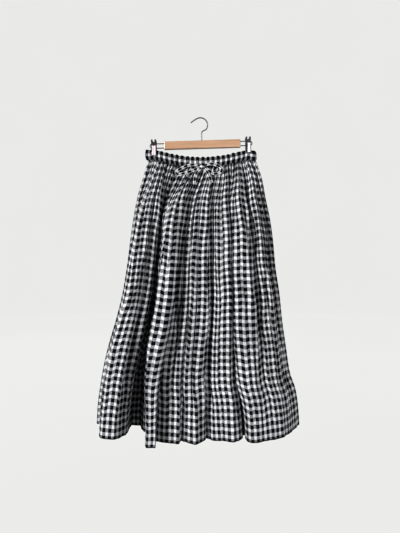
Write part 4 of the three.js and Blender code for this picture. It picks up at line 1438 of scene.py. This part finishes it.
@dataclass
class Waistband:
    """A ruffled casing over elastic, as a closed shell that runs round the waist."""

    waist: Waist
    ruffles: int = 44
    columns_per_ruffle: int = 14
    check: float = 0.02
    half_wall: float = 1.1
    end_rounding: float = 9.0
    crowding: float = 0.5

    def ring(self, columns: int) -> tuple[Array, Array, Array]:
        """The band's middle line as equal steps, from its left end along the front and back again.

        X goes as a cosine and the depth is the waist's, rounded off as a quarter circle at the ends.

        Args:
            columns: How many steps the ring has.

        Returns:
            Points (columns, 2), outward directions (columns, 2) and directions along it (columns, 2).
        """
        turn = np.linspace(0, 2 * np.pi, 2881)
        middle = (self.waist.left + self.waist.right) / 2
        half = (self.waist.right - self.waist.left) / 2
        x = middle - half * np.cos(turn)
        from_end = np.clip((half - np.abs(x - middle)) / self.end_rounding, 0, 1)
        y = -np.sign(np.sin(turn)) * self.waist.depth(x) * np.sqrt(1 - (1 - from_end) ** 2)
        lengths = np.concatenate([[0], np.cumsum(np.hypot(np.diff(x), np.diff(y)))])
        wanted = np.linspace(0, lengths[-1], columns, endpoint=False)
        line = np.stack([np.interp(wanted, lengths, x), np.interp(wanted, lengths, y)], axis=-1)
        along = unit(np.roll(line, -1, axis=0) - np.roll(line, 1, axis=0))
        outward = np.stack([along[:, 1], -along[:, 0]], axis=-1)
        return line, outward, along

    def build(self, finish: bpy.types.Material, thread: bpy.types.Material) -> None:
        """Args:
            finish: The cloth's material.
            thread: The sewing thread's material.
        """
        columns = self.ruffles * self.columns_per_ruffle
        line, outward, along = self.ring(columns)
        angle = 2 * np.pi * np.arange(columns) / self.columns_per_ruffle
        turn = angle / self.ruffles
        angle = angle + 0.6 * np.sin(3 * turn + 1) * np.sin(turn / 2) ** 2 + 0.35 * np.sin(13 * turn + 2)
        free = 1 - self.waist.pinch(line[:, 0])
        uneven = 0.8 + 0.22 * np.sin(16 * turn + 0.6) + 0.16 * np.sin(57 * turn)
        heights, offsets = self.profile()
        ruffle = 2.1 + 1.1 * np.exp(-heights / 4.5) + 0.9 * np.exp(-(self.waist.height - heights) / 5)
        wave = np.sin(angle) * uneven * free
        scale = 1 - 0.015 * np.exp(-heights / 6) - 0.028 * np.exp(-(self.waist.height - heights) / 7)
        step = 2 * np.pi / self.columns_per_ruffle
        length = np.linalg.norm(np.diff(line[:2], axis=0)) / step
        shift = -self.crowding * length / 2 * np.sin(2 * angle) * free * uneven
        centre = line + along * shift[:, None]
        middle = (self.waist.left + self.waist.right) / 2
        out = offsets[:, None] * (0.55 + 0.45 * free)[None, :] + ruffle[:, None] * wave[None, :]
        xy = centre[None] + outward[None] * out[..., None]
        xy[..., 0] = middle + (xy[..., 0] - middle) * scale[:, None]
        scallop = 0.9 * np.sin(angle) * uneven * free
        rim = scallop[None] * np.exp(-heights / 5)[:, None]
        z = self.waist.top(line[:, 0])[None] - heights[:, None] + rim
        grid = np.concatenate([xy, z[..., None]], axis=-1)
        band = self.shell(grid, heights, finish)
        stitches = self.stitch_row(grid, heights, outward, thread)
        for piece in (band, stitches):
            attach(piece, "root")
        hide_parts("waistband")
        log.info("waistband: %d ruffles", self.ruffles)

    def profile(self) -> tuple[Array, Array]:
        """The casing's section as a closed loop: heights below the top edge and offsets outwards.

        The outer face swells between its two stitched edges as a sine, and the top and bottom edges are
        rounded off as half circles.

        Returns:
            Heights and offsets in millimetres, from the outer bottom over the top to the inner bottom.
        """
        outer = np.linspace(self.waist.height - 1, 1, 17)
        swell = self.half_wall + 0.8 * np.sin(np.pi * (outer - 5).clip(0, 22) / 22)
        turn = np.linspace(0, np.pi, 6)[1:-1]
        top_edge = 1 - np.sin(turn)
        bottom_edge = self.waist.height - 1 + np.sin(turn)
        heights = np.concatenate([outer, top_edge, outer[::-1], bottom_edge])
        inner = np.full(len(outer), -self.half_wall)
        rounding = self.half_wall * np.cos(turn)
        offsets = np.concatenate([swell, rounding, inner, -rounding])
        return heights, offsets

    def shell(self, grid: Array, heights: Array, finish: bpy.types.Material) -> bpy.types.Object:
        """Closes the casing's section and ring into one shell.

        Args:
            grid: Points, shape (section, ring, 3).
            heights: Heights of the section's points below the top edge.
            finish: The cloth's material.

        Returns:
            The shell.
        """
        rows, columns = grid.shape[:2]
        r, c = np.meshgrid(np.arange(rows), np.arange(columns), indexing="ij")
        corners = ((r, c), (r, c + 1), (r + 1, c + 1), (r + 1, c))
        quads = np.stack(
            [(row % rows) * columns + column % columns for row, column in corners], axis=-1
        ).reshape(-1, 4)
        u = np.arange(columns + 1) / self.columns_per_ruffle * self.check
        v = np.append(heights, heights[0]) * MM
        uvs = np.stack(np.broadcast_arrays(u[None, :], v[:, None]), axis=-1)
        quad_uvs = np.stack([uvs[row, column] for row, column in corners], axis=-2).reshape(-1, 4, 2)
        band = make_object("skirt_waistband", grid.reshape(-1, 3), quads, quad_uvs, closed=True)
        band.data.materials.append(finish)
        return band

    def stitch_row(
        self, grid: Array, heights: Array, outward: Array, thread: bpy.types.Material
    ) -> bpy.types.Object:
        """Stitches round the casing just above its lower edge.

        Args:
            grid: The shell's points.
            heights: Heights of the section's points below the top edge.
            outward: Outward directions of the ring.
            thread: The sewing thread's material.

        Returns:
            The joined stitches.
        """
        row = int(np.argmin(np.abs(heights[:17] - (self.waist.height - 3.5))))
        line = grid[row][::4]
        out = np.concatenate([outward, np.zeros((len(outward), 1))], axis=1)[::4]
        along = unit(np.roll(line, -1, axis=0) - np.roll(line, 1, axis=0))
        up = np.cross(along, out)
        return joined_stitches("waistband_stitches", line + out * 0.12, along, out, up, 2.2, 0.24, thread)


@dataclass
class Bow:
    """The drawstring's bow: a knot, two loops and two free ends of flat tape."""

    front: Panel
    width: float = 8.5
    thickness: float = 2.3
    knot_x: float = 5.5
    knot_z: float = -147.0
    knot_half_width: float = 7.5
    knot_half_height: float = 5.0
    knot_half_depth: float = 3.6
    gather_crest: float = 3.1
    cloth_half_wall: float = 0.6

    def surface_y(self, x: Array, z: Array) -> Array:
        """Y of the front's crests where they are seen at x and z.

        The share of the cloth at x is found by reading the row's X backwards.

        Args:
            x: Places across, in millimetres.
            z: Heights, in millimetres.

        Returns:
            Y of the crests.
        """
        waist, panel = self.front.waist, self.front
        top = waist.top(x) - waist.height
        hem = panel.hem_height + panel.hem_lift * (x / panel.hem_half_width) ** 2
        drops = np.clip((z - top) / (hem - top), 0, 1)
        cloth = np.linspace(0, 1, 801)
        rows_x = panel.across(cloth, drops)
        rows_y = panel.depths(cloth, drops)
        order = np.argsort(rows_x, axis=1)
        rows_x = np.take_along_axis(rows_x, order, axis=1)
        rows_y = np.take_along_axis(rows_y, order, axis=1)
        nearest = np.abs(rows_x - x[:, None]).argmin(axis=1)
        crests = self.gather_crest + self.cloth_half_wall
        return rows_y[np.arange(len(x)), nearest] - crests

    def centre_line(self, points: tuple[TiePoint, ...], steps: int) -> Array:
        """The tape's middle line through its points.

        Args:
            points: Points as seen from the front, with their lift.
            steps: How many points the line has.

        Returns:
            Points in millimetres, shape (steps, 3).
        """
        x, z, lift = np.array(points, float).T
        return route(np.stack([x, self.surface_y(x, z) - lift, z], axis=-1), steps)

    def tape(
        self, name: str, points: tuple[TiePoint, ...], finish: bpy.types.Material, free_end: bool
    ) -> tuple[bpy.types.Object, Array]:
        """One stretch of tape: a flat rounded section carried along its line.

        The section is a squashed circle with flattened faces, and a small fold runs along the middle. The
        tape is drawn together near the knot.

        Args:
            name: The piece's name.
            points: Its points.
            finish: The cloth's material.
            free_end: Whether the far end is cut across and folded in.

        Returns:
            The piece and its middle line in millimetres.
        """
        steps = 90
        line = self.centre_line(points, steps)
        along = unit(np.gradient(line, axis=0))
        broad = unit(np.cross(along, np.array([0.0, 1.0, 0.0])))
        thin = unit(np.cross(broad, along))
        angle = 2 * np.pi * np.arange(20) / 20
        across = np.sign(np.cos(angle)) * np.abs(np.cos(angle)) ** 0.7
        rise = np.sign(np.sin(angle)) * np.abs(np.sin(angle)) ** 0.6
        share = np.linspace(0, 1, steps)
        from_knot = np.minimum(share, 1 - share) if not free_end else share
        full = 0.74 + 0.26 * smoothstep(from_knot, 0, 0.14)
        wobble = 1 + 0.04 * np.sin(23 * share + len(name)) + 0.03 * np.sin(51 * share)
        half_width = self.width / 2 * full * wobble
        half_thickness = self.thickness / 2 * (1.25 - 0.25 * full)
        dent = 1 - 0.28 * np.exp(-((across / 0.35) ** 2))
        rings = (
            line[:, None]
            + broad[:, None] * (half_width[:, None] * across)[..., None]
            + thin[:, None] * (half_thickness[:, None] * rise * dent)[..., None]
        )
        lengths = np.concatenate([[0], np.cumsum(np.linalg.norm(np.diff(line, axis=0), axis=1))])
        u = np.append(across, across[0]) * self.width * MM + 0.005
        v = lengths * MM + 0.004
        uvs = np.stack(np.broadcast_arrays(u[None, :], v[:, None]), axis=-1)
        piece = closed_tube(name, rings, uvs)
        piece.data.materials.append(finish)
        return piece, line

    def knot(self, finish: bpy.types.Material) -> bpy.types.Object:
        """The knot: a rounded lump whose wraps show as grooves that run slantwise round it.

        The radius falls to the ends as a root of one minus the square, and the grooves are a power of a
        sine of the place along it and the angle round it.

        Args:
            finish: The cloth's material.

        Returns:
            The knot.
        """
        steps, sides = 48, 40
        s = np.linspace(-0.995, 0.995, steps)[:, None]
        angle = (2 * np.pi * np.arange(sides) / sides)[None, :]
        size = np.sqrt(1 - 0.84 * s**2)
        groove = 1 - 0.16 * np.abs(np.sin(2.6 * s + 0.35 * np.sin(angle) + 0.5)) ** 12
        x, z = np.array([self.knot_x]), np.array([self.knot_z])
        y = self.surface_y(x, z)[0] - self.knot_half_depth + 0.3
        rings = np.stack(
            np.broadcast_arrays(
                self.knot_x + self.knot_half_width * s,
                y + self.knot_half_depth * size * groove * np.sin(angle),
                self.knot_z + self.knot_half_height * size * groove * np.cos(angle),
            ),
            axis=-1,
        )
        u = np.append(angle[0], 2 * np.pi) * 4 * MM
        v = s[:, 0] * self.knot_half_width * MM
        uvs = np.stack(np.broadcast_arrays(u[None, :], v[:, None]), axis=-1)
        piece = closed_tube("drawstring_knot", rings, uvs)
        piece.data.materials.append(finish)
        return piece

    def build(self, finish: bpy.types.Material) -> None:
        """Makes the knot, the loops and the free ends, and hides the imported nodes they stand in for.

        Args:
            finish: The cloth's material.
        """
        knot = self.knot(finish)
        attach(knot, "root")
        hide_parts("bow_knot")
        stretches = (
            ("drawstring_loop_left", "bow_loop_left", LEFT_LOOP, False),
            ("drawstring_loop_right", "bow_loop_right", RIGHT_LOOP, False),
            ("drawstring_end_left", "tie_end_left", LEFT_TAIL, True),
            ("drawstring_end_right", "tie_end_right", RIGHT_TAIL, True),
        )
        for name, node, points, free_end in stretches:
            piece, line = self.tape(name, points, finish, free_end)
            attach(piece, "root")
            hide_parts(node)


@dataclass
class Hanger:
    """The hanger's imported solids, dressed in their finishes."""

    wood: bpy.types.Material
    wire: bpy.types.Material
    # the plates' finishes paint a reflection on the panel and shade on the rims
    left_plate_painted_reflection: bpy.types.Material
    right_plate_painted_reflection: bpy.types.Material
    pad: bpy.types.Material

    def build(self) -> None:
        """Gives each of the hanger's nodes its finish."""
        for name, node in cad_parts.items():
            finish = self.finish_for(name)
            if finish is not None:
                node.data.materials.clear()
                node.data.materials.append(finish)
        log.info("hanger dressed")

    def finish_for(self, name: str) -> bpy.types.Material | None:
        """The finish of one node, by its name."""
        if name == "wood_bar":
            return self.wood
        if name == "hook" or name.startswith("rail") or name.endswith("saddle"):
            return self.wire
        if name.endswith("pad"):
            return self.pad
        if name.endswith("plate"):
            return self.left_plate_painted_reflection if "left" in name else self.right_plate_painted_reflection
        return None


@dataclass
class Studio:
    """The camera at the photograph's place, the lamps, and a pale floor that sweeps up all round."""

    camera_x: float = -1.0
    camera_y: float = -1250.0
    camera_z: float = -444.0
    focal_pixels: float = 417.0
    picture_height: int = 533
    sensor: float = 36.0
    floor_z: float = -1350.0
    sweep_radius: float = 1500.0
    sweep_reach: float = 8500.0
    sweep_top: float = 9000.0
    sky: float = 0.12

    def camera(self) -> None:
        """Makes the camera: it looks straight along Y from its place."""
        data = bpy.data.cameras.new("camera")
        data.sensor_width = self.sensor
        data.lens = self.focal_pixels / self.picture_height * self.sensor
        data.clip_start = 0.05
        data.clip_end = 50
        camera = bpy.data.objects.new("camera", data)
        camera.location = (self.camera_x * MM, self.camera_y * MM, self.camera_z * MM)
        camera.rotation_euler = (math.pi / 2, 0, 0)
        bpy.context.scene.collection.objects.link(camera)
        bpy.context.scene.camera = camera

    def light(self, lamp: Lamp) -> None:
        """Makes one lamp.

        Args:
            lamp: The lamp, which shows as a highlight only where it is glossy.
        """
        data = bpy.data.lights.new(lamp.name, "AREA")
        data.size = lamp.size
        data.energy = lamp.power
        light = bpy.data.objects.new(lamp.name, data)
        light.location = lamp.place
        light.visible_glossy = lamp.glossy
        direction = Vector(lamp.aim) - Vector(lamp.place)
        light.rotation_euler = direction.to_track_quat("-Z", "Y").to_euler()
        bpy.context.scene.collection.objects.link(light)

    def sweep(self, finish: bpy.types.Material) -> None:
        """The floor and backdrop as one surface, turned round the upright axis to stand on every side.

        Its section is flat, then a quarter circle, then upright. It doesn't light the skirt.

        Args:
            finish: The pale surface's material.
        """
        radius, reach, top = self.sweep_radius, self.sweep_reach, self.sweep_top
        turn = np.linspace(0, np.pi / 2, 24)
        out = np.concatenate([[1.0], reach - radius + radius * np.sin(turn), [reach]])
        z = np.concatenate([[0], radius * (1 - np.cos(turn)), [top]]) + self.floor_z
        angle = 2 * np.pi * np.arange(96) / 96
        x = out[:, None] * np.cos(angle)
        y = out[:, None] * np.sin(angle)
        grid = np.stack([x, y, np.broadcast_to(z[:, None], x.shape)], axis=-1)
        uvs = np.stack([x, y], axis=-1)[:, np.arange(97) % 96] * MM
        floor = grid_surface("studio_floor", grid, uvs, ring=True)
        floor.data.materials.append(finish)
        floor.visible_diffuse = False

    def build(self, finish: bpy.types.Material) -> None:
        """Makes the camera, lights, world and floor.

        Args:
            finish: The pale surface's material.
        """
        self.camera()
        for lamp in LAMPS:
            self.light(lamp)
        self.sweep(finish)
        world = bpy.data.worlds.new("studio")
        bpy.context.scene.world = world
        world.use_nodes = True
        background = world.node_tree.nodes["Background"]
        background.inputs["Color"].default_value = (1, 1, 0.99, 1)
        background.inputs["Strength"].default_value = self.sky
        bpy.context.scene.view_settings.view_transform = "Standard"
        bpy.context.scene.view_settings.look = "High Contrast"
        log.info("studio ready")


def main() -> None:
    """Builds the studio, the skirt and the hanger in order."""
    logging.basicConfig(level=logging.INFO, format="%(name)s: %(message)s")
    Studio().build(PaleSurface("pale_surface").build())
    cotton = Gingham("gingham_cotton", dark_share=0.62, half_tone=0.74).build()
    hemmed = Gingham("gingham_hemmed", hem_band=0.0045).build()
    tape = Gingham(
        "drawstring_cotton", light=(0.84, 0.845, 0.86, 1), dark_share=0.54, half_tone=0.62
    ).build()
    thread = Thread("sewing_thread").build()
    waist = Waist()
    front_folds = (FRONT_LINES, FRONT_CREASES, FRONT_PLEATS, FRONT_LEDGES)
    back_folds = (back_lines(), BACK_CREASES, BACK_PLEATS, BACK_LEDGES)
    front = Panel("skirt_front", Facing.FRONT, *front_folds, cut_width=1.48, waist=waist)
    back = Panel("skirt_back", Facing.BACK, *back_folds, cut_width=1.3, waist=waist)
    front.build(hemmed, thread)
    back.build(hemmed, thread)
    Waistband(waist).build(cotton, thread)
    Bow(front).build(tape)
    Hanger(
        wood=Beech("beech_wood").build(),
        wire=PlatedSteel("plated_wire").build(),
        # the plates' pale panels are painted reflections and their rims painted shade
        left_plate_painted_reflection=PlateWithPaintedReflection(
            "left_plate_painted_reflection", -0.1388, -0.083, -0.0055, 0.0055, (0.72, 0.62, 0.66, 1)
        ).build(),
        right_plate_painted_reflection=PlateWithPaintedReflection(
            "right_plate_painted_reflection", 0.1431, -0.074, -0.002, 0.0065, (0.82, 0.82, 0.83, 1)
        ).build(),
        pad=SoftPad("jaw_pad").build(),
    ).build()


if __name__ == "__main__":
    main()
